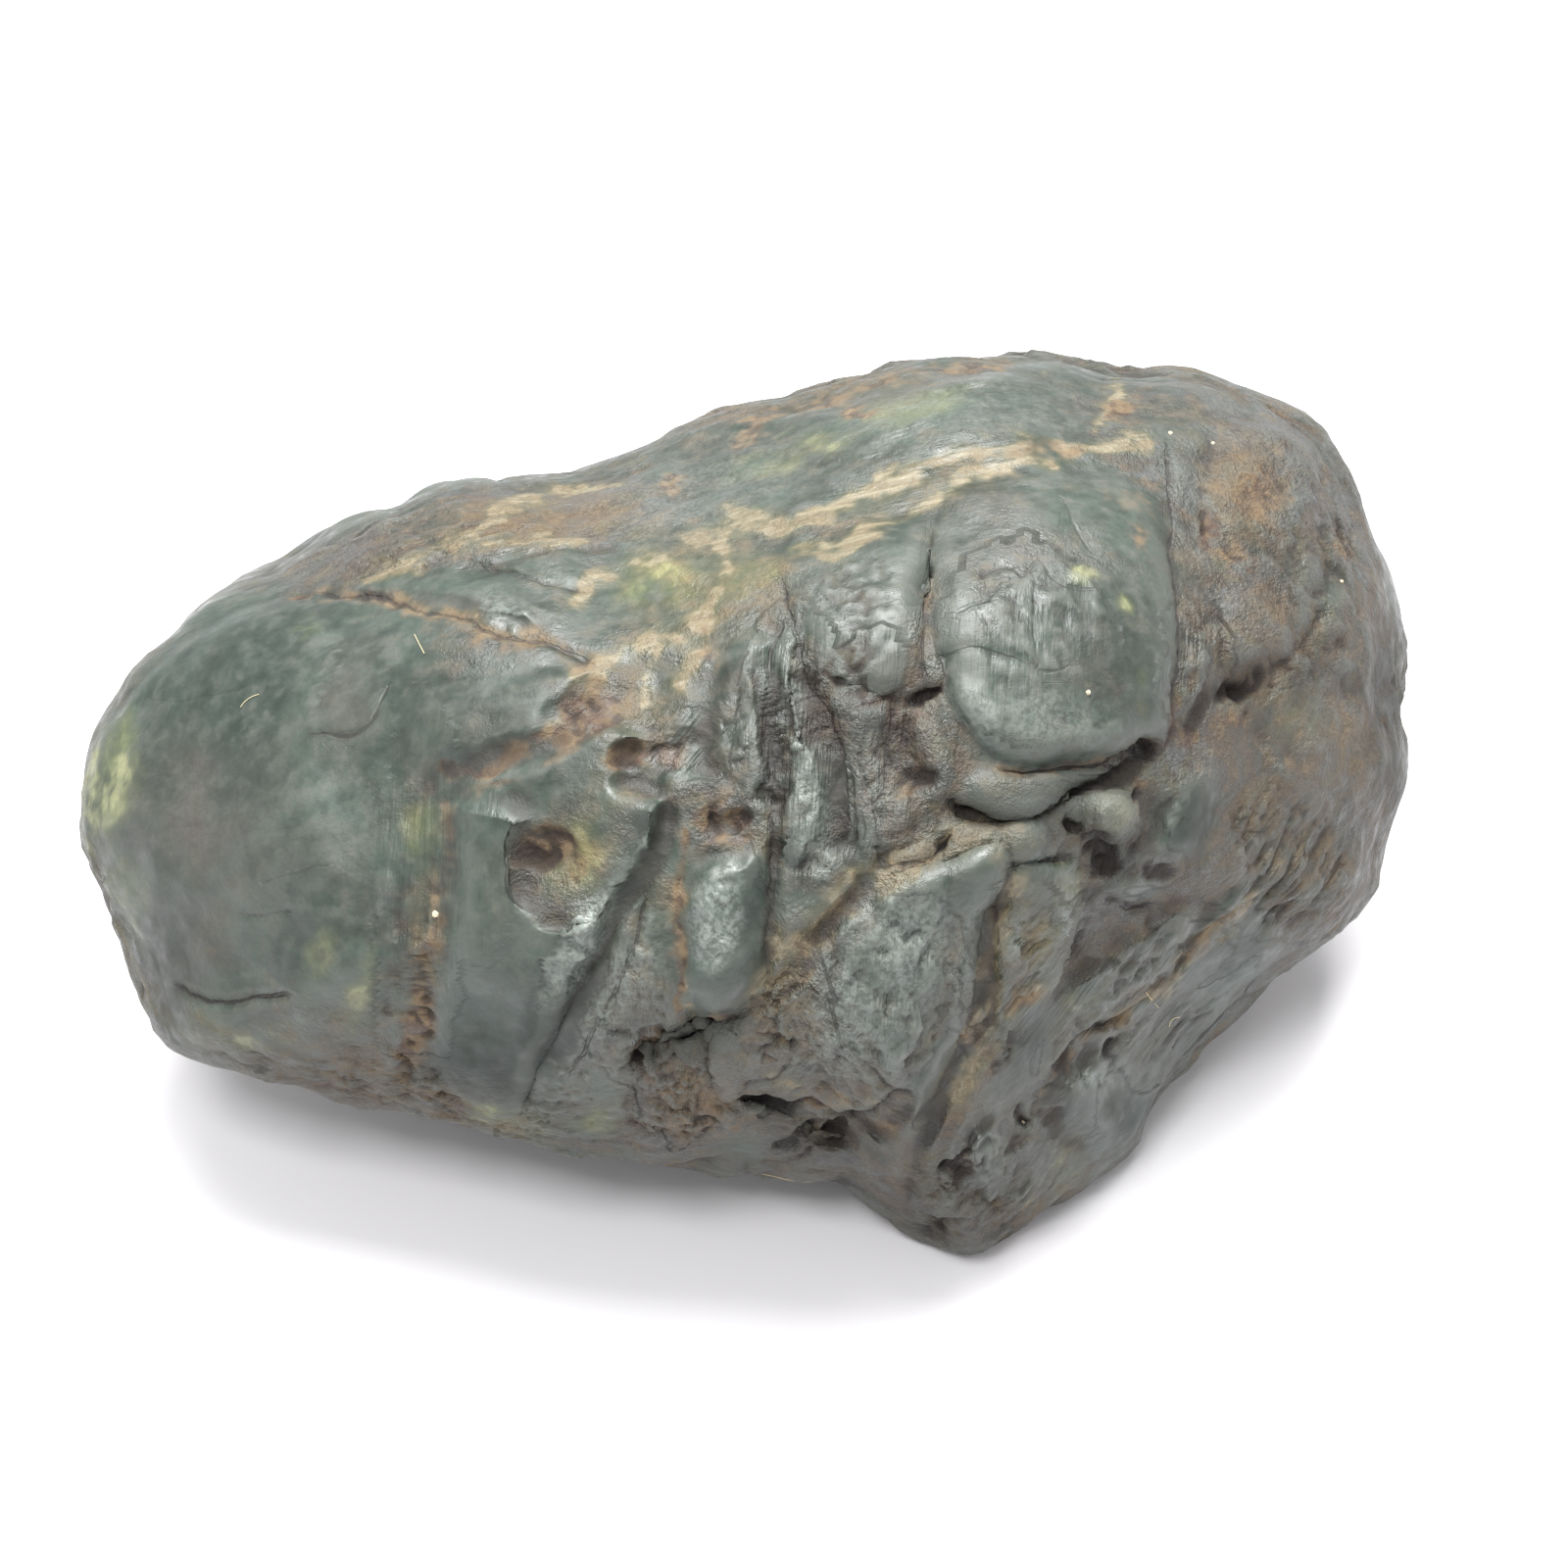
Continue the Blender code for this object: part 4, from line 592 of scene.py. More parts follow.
# How brown, dull and grainy the skin is, from 0 for polished jade to 1 for bare crust: broad places, then
# blocks.
CRUST = {
    "dome": (-50, 0, 14, 20, 0, 0.04),
    "dome_inner": (-38, 0, 4, 12, 0, 0.4),
    "crown_left": (-30, 24, 16, 4, 8, 0.75),
    "crown": (-8, 24, 14, 8, 10, 0.45),
    "top": (16, 33, 16, 7, 4, 0.25),
    "top_right": (38, 30, 9, 8, -30, 0.7),
    "valley": (-34, -14, 4.5, 16, 0, 0.45),
    "foot_left": (-46, -24, 12, 4, -8, 0.6),
    "foot_middle": (-18, -30, 14, 5, -6, 0.65),
    "middle": (-10, 4, 9, 9, 0, 0.55),
    "recess": (9, 5, 7, 12, 0, 0.95),
    "right": (47, 8, 11, 22, 0, 0.85),
    "under_bulge": (33, -8, 12, 9, 0, 0.8),
    "low": (22, -28, 16, 12, 30, 0.9),
    "fan": (6, -22, 10, 10, 0, 0.75),
    "tip": (18, -38, 10, 5, 0, 0.9),
}
BLOCK_CRUST = {
    "hook": 0.06, "band": 0.85, "egg_brow": 0.6, "saddle": 0.5, "fan_ledge": 0.35, "flake": 0.6,
    "spine_low": 0.45, "recess_wall": 0.8, "brow": 0.30, "plate": 0.22, "curl": 0.35, "wedge": 0.38,
    "egg": 0.22, "swirl": 0.40, "pad": 0.45, "spine": 0.36, "strand": 0.40, "shoulder": 0.30,
    "bulge": 0.28, "lip": 0.40, "knob": 0.55, "fan": 0.62, "chip": 0.5, "post": 0.42, "slant": 0.32,
    "fin": 0.6, "shard": 0.3, "toe": 0.75, "heel": 0.45, "green_end": 0.05, "rail": 0.32, "tongue": 0.55,
    "scale": 0.6, "slab": 0.8, "right_wedge": 0.75, "right_brow": 0.75, "right_end": 0.7,
    "long_lens": 0.15, "small_lens": 0.25, "column": 0.75, "drop": 0.6, "crumb": 0.7, "sole": 0.75,
}

# Where the fibres of the jade show: the way that they run, in degrees from level, with patches of each.
FIBRES = {
    "upright": (86, {
        "valley": (-34, -10, 5, 22, 0, 0.55), "strands": (1, 4, 6, 14, 0, 1),
        "recess": (9, 4, 6, 11, 8, 1), "wedge": (-14, -20, 5, 12, 20, 0.8),
        "slab": (38, 12, 3.5, 7, 0, 1), "column": (-10, -27, 5, 6, 0, 1),
        "fan_middle": (10, -20, 9, 12, 0, 0.8), "knob": (30, -6, 8, 6, 0, 0.5),
        "bulge": (22, 14, 10, 11, 0, 0.14), "plate": (-28, -8, 3, 10, 0, 0.25)}),
    "slanted": (52, {
        "fan_left": (1, -21, 6, 8, 0, 1), "rail": (36, -20, 9, 10, 45, 1),
        "low": (24, -20, 9, 14, 10, 0.9), "right_low": (46, -6, 8, 8, 0, 0.7),
        "tip": (18, -36, 9, 6, 20, 0.6), "middle": (-10, 4, 6, 5, 0, 0.4)}),
    "level": (14, {
        "crown": (-30, 23, 16, 5, 0, 0.35), "top": (14, 30, 20, 8, 8, 0.2),
        "foot": (-30, -28, 26, 4, -8, 0.8), "right": (48, 18, 8, 16, 0, 0.35),
        "dome": (-50, 4, 14, 14, 20, 0.08)}),
}

# Tan and ochre earth in the skin, as patches.
OCHRE = {
    "post": (22.2, -13.6, 3.6, 9, 4, 0.9),
    "post_low": (17, -26, 4, 8, -20, 0.7),
    "saddle": (-20.4, -5.4, 6, 5, 40, 0.9),
    "brow_pits": (-14, 3.4, 5, 2.6, 0, 0.9),
    "wedge": (-12, -12, 3, 9, 0, 0.5),
    "fan_left": (0, -20, 5, 7, 40, 0.8),
    "column": (-8, -28, 7, 6, 0, 0.6),
    "knob": (30, -1, 6, 4, 0, 0.6),
    "right_foot": (46, -4, 7, 10, 30, 0.7),
    "net": (-8, 19, 11, 9, 10, 0.9),
    "crown": (-26, 25, 14, 4, 10, 0.8),
    "vein_side": (12, 26.6, 14, 3.4, 18, 0.8),
    "top_edge": (4, 36, 16, 2.4, 8, 0.7),
    "middle": (-14, 8, 8, 6, 30, 0.9),
    "brow": (-16, 0.5, 6, 4, 20, 0.7),
    "valley": (-33.5, -14, 2.6, 18, 0, 0.9),
    "foot_left": (-38, -26, 14, 3, -8, 0.6),
    "band": (8, -8, 12, 3, 36, 1),
    "slant": (27, -22, 8, 2, 45, 0.5),
    "right_top": (42, 27, 5, 8, 20, 0.8),
    "right": (46, 10, 9, 14, 0, 0.5),
    "right_line": (48, 14, 2, 8, -30, 0.8),
    "tip": (20, -37, 6, 3, 20, 0.4),
    "egg_side": (-9.6, -12, 1.6, 9, 0, 0.8),
    "low_warm": (25, -22, 14, 12, 30, 0.35),
    "right_warm": (52, 4, 6, 9, 0, 0.45),
    "foot_warm": (-34, -28, 22, 4.5, -14, 0.4),
}

# Small holes with torn rims, sunk in and painted black as shade, in the same terms.
HOLES = {
    "knob_left": (26.6, -3.3, 1.4, 0.8, -50, 1),
    "knob_below": (29.6, -6, 2.2, 1, -20, 1),
    "knob_right": (33.2, -0.5, 1.2, 0.6, 15, 0.9),
    "tongue_foot": (34.9, -7.2, 1.6, 0.7, -25, 0.35),
    "band_slot": (14.6, -4.8, 1.7, 0.7, 40, 1),
    "recess_top": (13, 8.9, 2.3, 0.9, 18, 1),
    "recess_low": (12.4, 1.6, 1.6, 1.1, -30, 0.7),
    "crevice": (33.2, 3.5, 2, 0.9, 20, 1),
    "lip_side": (17.4, -1.9, 1.8, 0.8, -10, 0.8),
    "rail_notch": (31.2, -24.1, 0.8, 1.2, 0, 0.8),
    "low_hole": (15.7, -35.3, 1.4, 0.9, -30, 0.8),
    "low_pit": (22.6, -30.8, 0.9, 0.8, 0, 0.7),
    "under_egg": (-8.6, -21.8, 2.8, 1, 16, 0.9),
    "under_egg_left": (-12.6, -23.4, 1.6, 0.9, 40, 0.8),
    "fan_foot": (-3, -28.4, 2, 0.9, -10, 0.9),
    "fan_foot_right": (5.6, -30.6, 2.4, 0.8, -6, 0.8),
    "tip": (14, -39.6, 1.8, 1, -20, 0.7),
    "right_hole": (42.2, 9.6, 1.9, 0.9, 20, 1),
    "right_slot": (38.6, 26, 0.8, 2.2, 0, 0.7),
}

# Crumbly places full of small pits, in the same terms.
CRUMBLY = {
    "saddle": (-22.2, -5.4, 3, 2, 40, 1),
    "saddle_low": (-20.4, -8.4, 2.6, 1.6, 60, 0.7),
    "brow": (-14.6, 3.6, 2.2, 2, 0, 1),
    "curl": (-10.6, 3.6, 2.4, 1.4, 10, 0.9),
    "egg_pit": (-5.6, -2.6, 3.4, 1.7, 24, 0.9),
    "pitted": (-17.2, 8.4, 4, 2.6, 40, 0.9),
    "recess": (9.6, 2, 3.6, 4.6, 0, 0.8),
    "recess_top": (6, 12, 4, 2.6, 0, 0.6),
    "valley": (-33.6, -21, 1.9, 5.6, -6, 0.9),
    "foot": (-29, -29.4, 6, 1.4, -14, 0.7),
    "fan_foot": (3.6, -27.6, 5, 1.4, -8, 0.8),
    "under_fan": (2, -31.4, 6, 2.2, -6, 0.7),
    "under_egg": (-9, -23, 4, 1.6, 16, 0.7),
    "column": (-6, -29.4, 3, 3, 0, 0.7),
    "right_rust": (38.8, 25, 1.6, 3, 0, 0.8),
    "right_pebble": (50.8, 23, 2.6, 1.6, -20, 0.8),
    "right_slant": (44, 10.4, 4.6, 1.6, 24, 0.8),
    "knob": (27, -4, 2.6, 2, 0, 0.6),
    "tip": (13, -40, 4, 2.2, -20, 0.8),
}

# Smooth places where the jade turns brown and dusky, in the same terms.
DUSKY = {
    "dome": (-55, -1, 12, 9, 10, 0.8),
    "dome_low": (-46, -6, 10, 6, 0, 0.5),
    "dome_crease": (-40.5, 9, 4, 8, -20, 0.6),
    "left_foot": (-56, -14, 8, 7, 0, 0.5),
    "crown": (-22, 26, 16, 4, 10, 0.9),
    "crown_left": (-40, 22.4, 8, 3, 20, 1),
    "lens_side": (-30, 17.6, 10, 2, -12, 0.7),
    "top": (10, 36, 14, 3, 8, 0.5),
    "bulge": (20, 22, 6, 5, 0, 0.5),
    "right": (46, 6, 14, 18, 0, 0.5),
    "low": (26, -24, 18, 14, 30, 0.5),
    "tip": (18, -38, 12, 7, 0, 0.5),
    "fan": (2, -22, 8, 9, 0, 0.25),
    "foot": (-30, -28, 26, 4.4, -8, 0.7),
    "column": (-10, -28, 8, 6, 0, 0.8),
    "wedge": (-15, -20, 6, 12, 24, 0.7),
    "recess": (9, 3, 6, 12, 6, 0.8),
}

# Colours, as the shader reads them.
JADE_DEEP = (0.020, 0.031, 0.024)
JADE_CLEAR = (0.033, 0.050, 0.039)
JADE_CLOUD = (0.077, 0.085, 0.073)
JADE_DUSK = (0.056, 0.050, 0.044)
JADE_DARK = (0.010, 0.015, 0.012)
# Pale yellow-green; at the thin left edge it is partly painted light shining through.
MOSS_PALE = (0.225, 0.235, 0.120)
MOSS_GREEN = (0.086, 0.100, 0.046)
CRUST_BROWN = (0.064, 0.044, 0.029)
CRUST_GREY = (0.052, 0.046, 0.041)
CRUST_SLATE = (0.067, 0.070, 0.070)
CRUST_OLIVE = (0.064, 0.062, 0.030)
CRUST_DARK = (0.042, 0.027, 0.019)
CRUST_OCHRE = (0.098, 0.068, 0.035)
CRUST_SAND = (0.125, 0.102, 0.066)
VEIN_WHITE = (0.215, 0.190, 0.128)
VEIN_CREAM = (0.130, 0.104, 0.060)
VEIN_OLIVE = (0.072, 0.068, 0.036)
RUST_DARK = (0.050, 0.026, 0.015)
RUST_GOLD = (0.118, 0.080, 0.043)
# The white of the painted highlights.
HIGHLIGHT_WHITE = (0.175, 0.200, 0.180)
WARM_TINT = (1.12, 1.0, 0.80)
# The darkening of the deep jade and of the painted shade.
DARK_AND_SHADE_TINT = (0.43, 0.43, 0.42)
# Near-black painted shade for the cracks, clefts, hollows and holes.
CREVICE_SHADE = (0.012, 0.008, 0.007)
SAND = (0.42, 0.36, 0.26)
LINT_CREAM = (0.50, 0.42, 0.26)

# The studio: how bright the white room is, and each soft light as (name, place, size, energy).
ROOM_LIGHT = 0.85
PAPER = (0.68, 0.67, 0.69)
SOFT_LIGHTS = [("overhead", (0.02, 0.12, 0.60), 0.35, 9.6), ("front", (-0.10, -0.24, 0.52), 0.14, 2.1)]
LIGHTS_AIM_AT = (0, 0, 0.03)
FLOOR_WIDTH = 4
PAPER_ROUGHNESS = 0.9
SENSOR = 36.0
FRAME_WIDTH = 144.0

BALL_STEPS = 7
FRONT_STARTS = 0.13

# Skin that is finer than the solid's, in millimetres: soft crumples as (size, height, seed), broken facets
# that follow the fibres as (length, width, height, seed), and the pits of the rust.
CRUMPLE = [(5.2, 0.14, 61), (1.9, 0.03, 62)]
FACETS = [(9.0, 4.0, 0.42, 71), (4.2, 1.9, 0.28, 73), (2.2, 1.1, 0.17, 75)]
FIBRE_BEND = 1.4
FIBRE_BEND_SIZE = 6.0
POLISHED_FACETS = 0.15
CRUSTED_FACETS = 0.25
CHIP_SIZE = 1.5
CHIP_HEIGHT = 0.30
PIT_SIZE = 1.3
PIT_DEPTH = 0.5
HOLE_DEPTH = 1.3
CRUMB_SIZE = 1.5
CRUMB_DEPTH = 0.6
CRACK_REACH = 1.2
CRACK_WANDER = 0.45
CRACK_CORE = 0.0
LINE_CORE = 0.35
FLAT_GUARD = 1.5

# Hollows and valleys are places that lie under the skin round them: how far round, and how deep is full.
# The material paints the hollows and valleys darker, as shade.
HOLLOW_ROUNDS = 4
HOLLOW_DEPTH = 0.15
VALLEY_ROUNDS = 50
VALLEY_DEPTH = 1.0

# How far the drawn places wander, as (size, reach), and the sizes of the skin's two mottles.
EDGE_WANDER = [(5.0, 1.1), (1.8, 0.45)]
PATCHY_SIZE = 9.0
MOTTLED_SIZE = 3.4

# What is drawn as patches, and how much the mottle breaks each of them up.
MOTTLING = {
    # The deep patches also carry painted shade.
    # The white patches are painted highlights.
    "moss": (MOSS, 0.9), "rust": (RUST, 0.8), "dark_jade_and_shade": (DARK_JADE_AND_SHADE, 0.5), "painted_highlight": (PAINTED_HIGHLIGHTS, 0.5),
    "crumpled": (CRUMPLED, 0.6), "crumbly": (CRUMBLY, 0.6), "dusky": (DUSKY, 0.0),
}

# What grows on the sides, back and underside, where nothing is drawn, as
# (size, seed, gain, start, least, most).
BEHIND = {
    "moss": (21.0, 92, 1.6, -0.45, 0.0, 0.8),
    "rust": (12.0, 93, 2.0, -0.75, 0.0, 0.9),
    "dusky": (24.0, 101, 1.4, 0.5, 0.0, 1.0),
    "pale": (15.0, 95, 2.0, 0.3, 0.0, 1.0),
    "fibres": (19.0, 96, 1.0, 0.45, 0.1, 0.9),
}
VEIN_BEHIND_SIZE = 26.0
VEIN_BEHIND_WIDTH = 0.035
CRUST_BEHIND = 0.45
CRUST_BEHIND_SIZE = 22.0

# The length, width and thickness of the grain along the fibres, in millimetres.
GRAIN_STEPS = (6.0, 0.5, 1.2)

# The material's noises, as (scale, detail, roughness), with a millimetre as the unit.
BROAD_NOISE = (0.11, 1.4, 0.45)
FLECK_NOISE = (0.62, 1.6, 0.55)
GRAIN_NOISE = (2.1, 2.6, 0.72)
THREAD_NOISE = (1.0, 2.0, 0.6)

# The finish: how much the fibres shade the stone, heights in millimetres, and gloss.
FIBRE_SHADE = 1.6
FIBRE_HEIGHTS = (0.03, 0.50)
GRAIN_HEIGHTS = (0.03, 0.55)
CRACK_GROOVE = 0.15
POLISHED_ROUGHNESS = 0.47
CRUST_ROUGHNESS = 0.58
FLECK_ROUGHNESS = 0.6
JADE_GLINT = 0.45
JADE_IOR = 1.55
SAND_ROUGHNESS = 0.8
LINT_ROUGHNESS = 0.9

# Dirt that clings to the skin, in millimetres on the sheet: grains of sand as (s, t, width), and lint as
# routes.
SAND_GRAINS = [
    (-32.7, -11.3, 0.6), (35.3, 32.3, 0.42), (39.5, 31.8, 0.38), (27.7, 9.3, 0.45), (51.3, 19.6, 0.38),
    (22.6, -30.8, 0.4), (13.4, -39.1, 0.42)]
GRAIN_ROUGHNESS = 0.14
LINT = {
    "left_upper": [(-50.6, 8.2), (-50.1, 9.0), (-49.2, 9.4)],
    "left_inner": [(-34.3, 15.0), (-34.0, 14.0), (-33.3, 13.2)],
    "slant_upper": [(33.8, -18.7), (34.3, -19.6), (34.9, -20.1)],
    "slant_lower": [(35.7, -21.8), (36.0, -21.2), (36.6, -20.8)],
    "sole": [(-2.0, -37.0), (-0.6, -37.4), (1.0, -37.3), (2.6, -37.7)],
}
LINT_RADIUS = 0.035
LINT_LIFT = 0.12
CURVE_STEPS = 6
RIM_STEPS = 720
RIM_SOFTNESS = 0.9


def noise(points, seed):
    """Smooth lattice noise at each row of points, roughly from -1 to 1."""
    rng = np.random.default_rng(seed)
    table = rng.permutation(256)
    slopes = rng.normal(size=(256, 3))
    slopes /= np.linalg.norm(slopes, axis=1, keepdims=True)
    cell = np.floor(points).astype(int)
    inside = points - cell
    ease = inside**3 * (inside * (inside * 6 - 15) + 10)
    total = np.zeros(len(points))
    for corner in itertools.product((0, 1), repeat=3):
        column, row, layer = ((cell + corner) & 255).T
        slope = slopes[table[(table[(table[column] + row) & 255] + layer) & 255]]
        weight = np.where(corner, ease, 1 - ease).prod(axis=1)
        total += weight * ((inside - corner) * slope).sum(axis=1)
    return total * 1.6


def curve_through(points, closed):
    """Points along a smooth curve through the given ones."""
    points = np.array(points, float)
    if closed:
        before, after = np.roll(points, 1, axis=0), np.roll(points, -1, axis=0)
        beyond = np.roll(points, -2, axis=0)
    else:
        ends = np.vstack([2 * points[0] - points[1], points, 2 * points[-1] - points[-2]])
        before, points, after, beyond = ends[:-3], ends[1:-2], ends[2:-1], ends[3:]
    pieces = []
    for x in np.arange(CURVE_STEPS) / CURVE_STEPS:
        pull = (after - before) * x + (2 * before - 5 * points + 4 * after - beyond) * x * x
        pieces.append(points + 0.5 * (pull + (3 * points - before - 3 * after + beyond) * x**3))
    curve = np.stack(pieces, axis=1).reshape(-1, points.shape[1])
    return curve if closed else np.vstack([curve, after[-1]])


def distance_to(curve, s, t, closed):
    """How far each place is from the curve, and whether it is inside it."""
    spot = np.stack([s, t], axis=1)
    ends = np.roll(curve, -1, axis=0) if closed else curve[1:]
    starts = curve if closed else curve[:-1]
    nearest = np.full(len(s), np.inf)
    inside = np.zeros(len(s), bool)
    for start, end in zip(starts, ends):
        run = end - start
        share = np.clip((spot - start) @ run / max(run @ run, 1e-9), 0, 1)
        nearest = np.minimum(nearest, np.hypot(*(spot - start - share[:, None] * run).T))
        if closed and start[1] != end[1]:
            crosses = (start[1] > t) != (end[1] > t)
            inside ^= crosses & (s < start[0] + (t - start[1]) * run[0] / run[1])
    return nearest, inside


def near(curve, s, t, margin):
    """The places that a drawn shape can reach."""
    low, high = curve.min(axis=0) - margin, curve.max(axis=0) + margin
    return np.flatnonzero((s > low[0]) & (s < high[0]) & (t > low[1]) & (t < high[1]))


def blocks_height(s, t):
    """The height of the blocks, with worn shoulders, and the number of the block on top, or -1."""
    height, owner = np.zeros(len(s)), np.full(len(s), -1)
    for number, (top, shoulder, lean_s, lean_t, outline) in enumerate(BLOCKS.values()):
        curve = curve_through(outline, closed=True)
        middle = curve.mean(axis=0)
        reached = near(curve, s, t, 0)
        depth, inside = distance_to(curve, s[reached], t[reached], closed=True)
        reached, depth = reached[inside], depth[inside]
        rise = np.minimum(depth / shoulder, 1)
        rise = rise * (1.35 - 0.35 * rise * rise)
        level = top + lean_s * (s[reached] - middle[0]) + lean_t * (t[reached] - middle[1])
        higher = rise * level > height[reached]
        height[reached[higher]] = (rise * level)[higher]
        owner[reached[higher]] = number
    return height, owner


def clefts_depth(s, t):
    """The depth of the clefts, which thin out towards their ends."""
    depth = np.zeros(len(s))
    for half_width, deepest, route in CLEFTS.values():
        curve = curve_through(route, closed=False)
        reached = near(curve, s, t, half_width)
        away, _ = distance_to(curve, s[reached], t[reached], closed=False)
        spot = np.stack([s[reached], t[reached]], axis=1)
        to_end = np.minimum(*(np.hypot(*(spot - end).T) for end in (curve[0], curve[-1])))
        thin = np.minimum(0.25 + to_end / (3 * half_width), 1)
        cut = deepest * thin * np.maximum(1 - (away / half_width) ** 2, 0) ** 1.6
        depth[reached] = np.maximum(depth[reached], cut)
    return depth


def in_oval(oval, s, t):
    """How far along and across a turned oval each place is, with 1 at its rim."""
    middle_s, middle_t, along, across, turn = oval
    turn = math.radians(turn)
    a = ((s - middle_s) * math.cos(turn) + (t - middle_t) * math.sin(turn)) / along
    b = ((t - middle_t) * math.cos(turn) - (s - middle_s) * math.sin(turn)) / across
    return a, b


def hollows_depth(s, t):
    """The depth of the pits and hollows."""
    depth = np.zeros(len(s))
    for *oval, deepest in HOLLOWS.values():
        a, b = in_oval(oval, s, t)
        depth += deepest * np.maximum(1 - a * a - b * b, 0) ** 1.5
    return depth


def broad_faces(faces, s, t):
    """The lowest of the broad faces at each place, with soft edges between them."""
    levels = [
        w + rise_s * (s - at_s) + rise_t * (t - at_t) for at_s, at_t, w, rise_s, rise_t in faces.values()]
    return -FACE_BLEND * np.log(sum(np.exp(-level / FACE_BLEND) for level in levels))


def rim_at(angle):
    """How far the rim is from the heart, and its w, in each direction on the sheet."""
    rim = np.array(RIM, float)
    turn = np.arctan2(rim[:, 1] - HEART[1], rim[:, 0] - HEART[0])
    order = np.argsort(turn)
    far = np.hypot(rim[:, 0] - HEART[0], rim[:, 1] - HEART[1])
    ring = np.linspace(-math.pi, math.pi, RIM_STEPS, endpoint=False)
    soften = np.exp(-((np.arange(RIM_STEPS) - RIM_STEPS // 2) / (2 * RIM_SOFTNESS)) ** 2)
    soften = np.fft.rfft(np.roll(soften / soften.sum(), -RIM_STEPS // 2))
    found = []
    for values in (far, rim[:, 2]):
        drawn = np.interp(ring, turn[order], values[order], period=2 * math.pi)
        drawn = np.fft.irfft(np.fft.rfft(drawn) * soften, RIM_STEPS)
        found.append(np.interp(angle, ring, drawn, period=2 * math.pi))
    return found


def stone_points(ball):
    """Turns the points of a unit ball, whose +Z faces the eye, into the stone's skin, in millimetres."""
    out = np.minimum(np.hypot(ball[:, 0], ball[:, 1]), 1)
    angle = np.arctan2(ball[:, 1], ball[:, 0])
    far, rim_w = rim_at(angle)
    s = HEART[0] + out * far * np.cos(angle)
    t = HEART[1] + out * far * np.sin(angle)
    dome = (1 - out**DOME_FALL) ** (1 / DOME_ROOT)
    front = ball[:, 2] > 0
    w = np.where(front, broad_faces(FRONT_FACES, s, t), -broad_faces(BACK_FACES, s, t))
    w = dome * w + (1 - dome) * rim_w
    facing = np.clip(ball[:, 2] / 0.25, 0, 1)
    flat = np.stack([s, t, np.zeros(len(s))], axis=1)
    drift_s, drift_t = (sum(a * noise(flat / size, seed + k) for size, a, seed in WANDER) for k in (0, 100))
    s_drawn, t_drawn = s + drift_s, t + drift_t
    height, _ = blocks_height(s_drawn, t_drawn)
    relief = height - clefts_depth(s_drawn, t_drawn) - hollows_depth(s_drawn, t_drawn)
    return sheet_to_stone(s, t, w + facing * relief), facing


def sheet_to_stone(s, t, w):
    """The place in the stone's frame of a spot on the sheet that stands off it by w, all in millimetres."""
    across, up = s * (REACH - w) / REACH, t * (REACH - w) / REACH
    x = across + SHEET_MIDDLE[0]
    y = up * math.sin(LEAN) - w * math.cos(LEAN) + SHEET_MIDDLE[1]
    z = up * math.cos(LEAN) + w * math.sin(LEAN) + SHEET_MIDDLE[2]
    return np.stack([x, y, z], axis=1)


def skin_cells(points):
    """The pillows and creases of the sides, back and underside, from seeded cells in the rock."""
    stretch = np.array(CELL_STRETCH)
    size, bend = CELL_BEND
    bent = points * stretch + bend * np.stack([noise(points / size, seed) for seed in (1, 2, 3)], axis=1)
    height = np.zeros(len(points))
    for count, depth, crease, seed in CELLS:
        ways = np.random.default_rng(seed).normal(size=(count, 3))
        centres = stone_points(ways / np.linalg.norm(ways, axis=1, keepdims=True))[0] * stretch
        first, second = np.full(len(points), np.inf), np.full(len(points), np.inf)
        for centre in centres:
            away = np.linalg.norm(bent - centre, axis=1)
            second = np.minimum(second, np.maximum(first, away))
            first = np.minimum(first, away)
        strength = np.clip(0.55 + 1.1 * noise(points / 24.0, seed + 1), 0.08, 1)
        height += depth * strength * (1 - np.exp(-(second - first) / crease) - 0.5)
    return height


def settle(points):
    """Wears the underside off at the floor, with a soft edge to the flat."""
    z = points[:, 2]
    eased = np.where(z < REST_ROUNDING, z * z / (2 * REST_ROUNDING), z - REST_ROUNDING / 2)
    points[:, 2] = np.where(z < 0, 0, eased)
    return points


def vertex_array(mesh, what):
    values = np.empty(len(mesh.vertices) * 3, np.float32)
    mesh.vertices.foreach_get(what, values)
    return values.reshape(-1, 3).astype(float)


def smoothed(values, edges, rounds):
    """Values on the vertices, averaged over their neighbours a number of times."""
    count = len(values)
    shares = 1 + np.bincount(edges.ravel(), minlength=count)[:, None]
    for _ in range(rounds):
        total = values.copy()
        for here, there in (edges.T, edges.T[::-1]):
            for column in range(values.shape[1]):
                total[:, column] += np.bincount(here, values[there, column], count)
        values = total / shares
    return values


def shape_stone(mesh):
    """Moves the vertices of a unit ball to the finished skin."""
    points, facing = stone_points(vertex_array(mesh, "co"))
    edges = np.empty(len(mesh.edges) * 2, np.int32)
    mesh.edges.foreach_get("vertices", edges)
    points = smoothed(points, edges.reshape(-1, 2), WORN_ROUNDS)
    mesh.vertices.foreach_set("co", points.ravel())
    mesh.update()
    normals = vertex_array(mesh, "normal")
    lift = sum(height * noise(points / size, seed) for size, height, seed in UNEVEN)
    lift += (1 - facing) * skin_cells(points)
    points = settle(points + normals * lift[:, None])
    mesh.vertices.foreach_set("co", (points * MM).ravel())
    mesh.update()


def patch_mask(patch, s, t):
    """From 0 to the patch's strength, rounded off towards its rim."""
    *oval, strength = patch
    return strength * np.clip(1.5 * (1 - np.hypot(*in_oval(oval, s, t))), 0, 1)


def patches_mask(patches, s, t):
    return np.max([patch_mask(patch, s, t) for patch in patches.values()], axis=0)


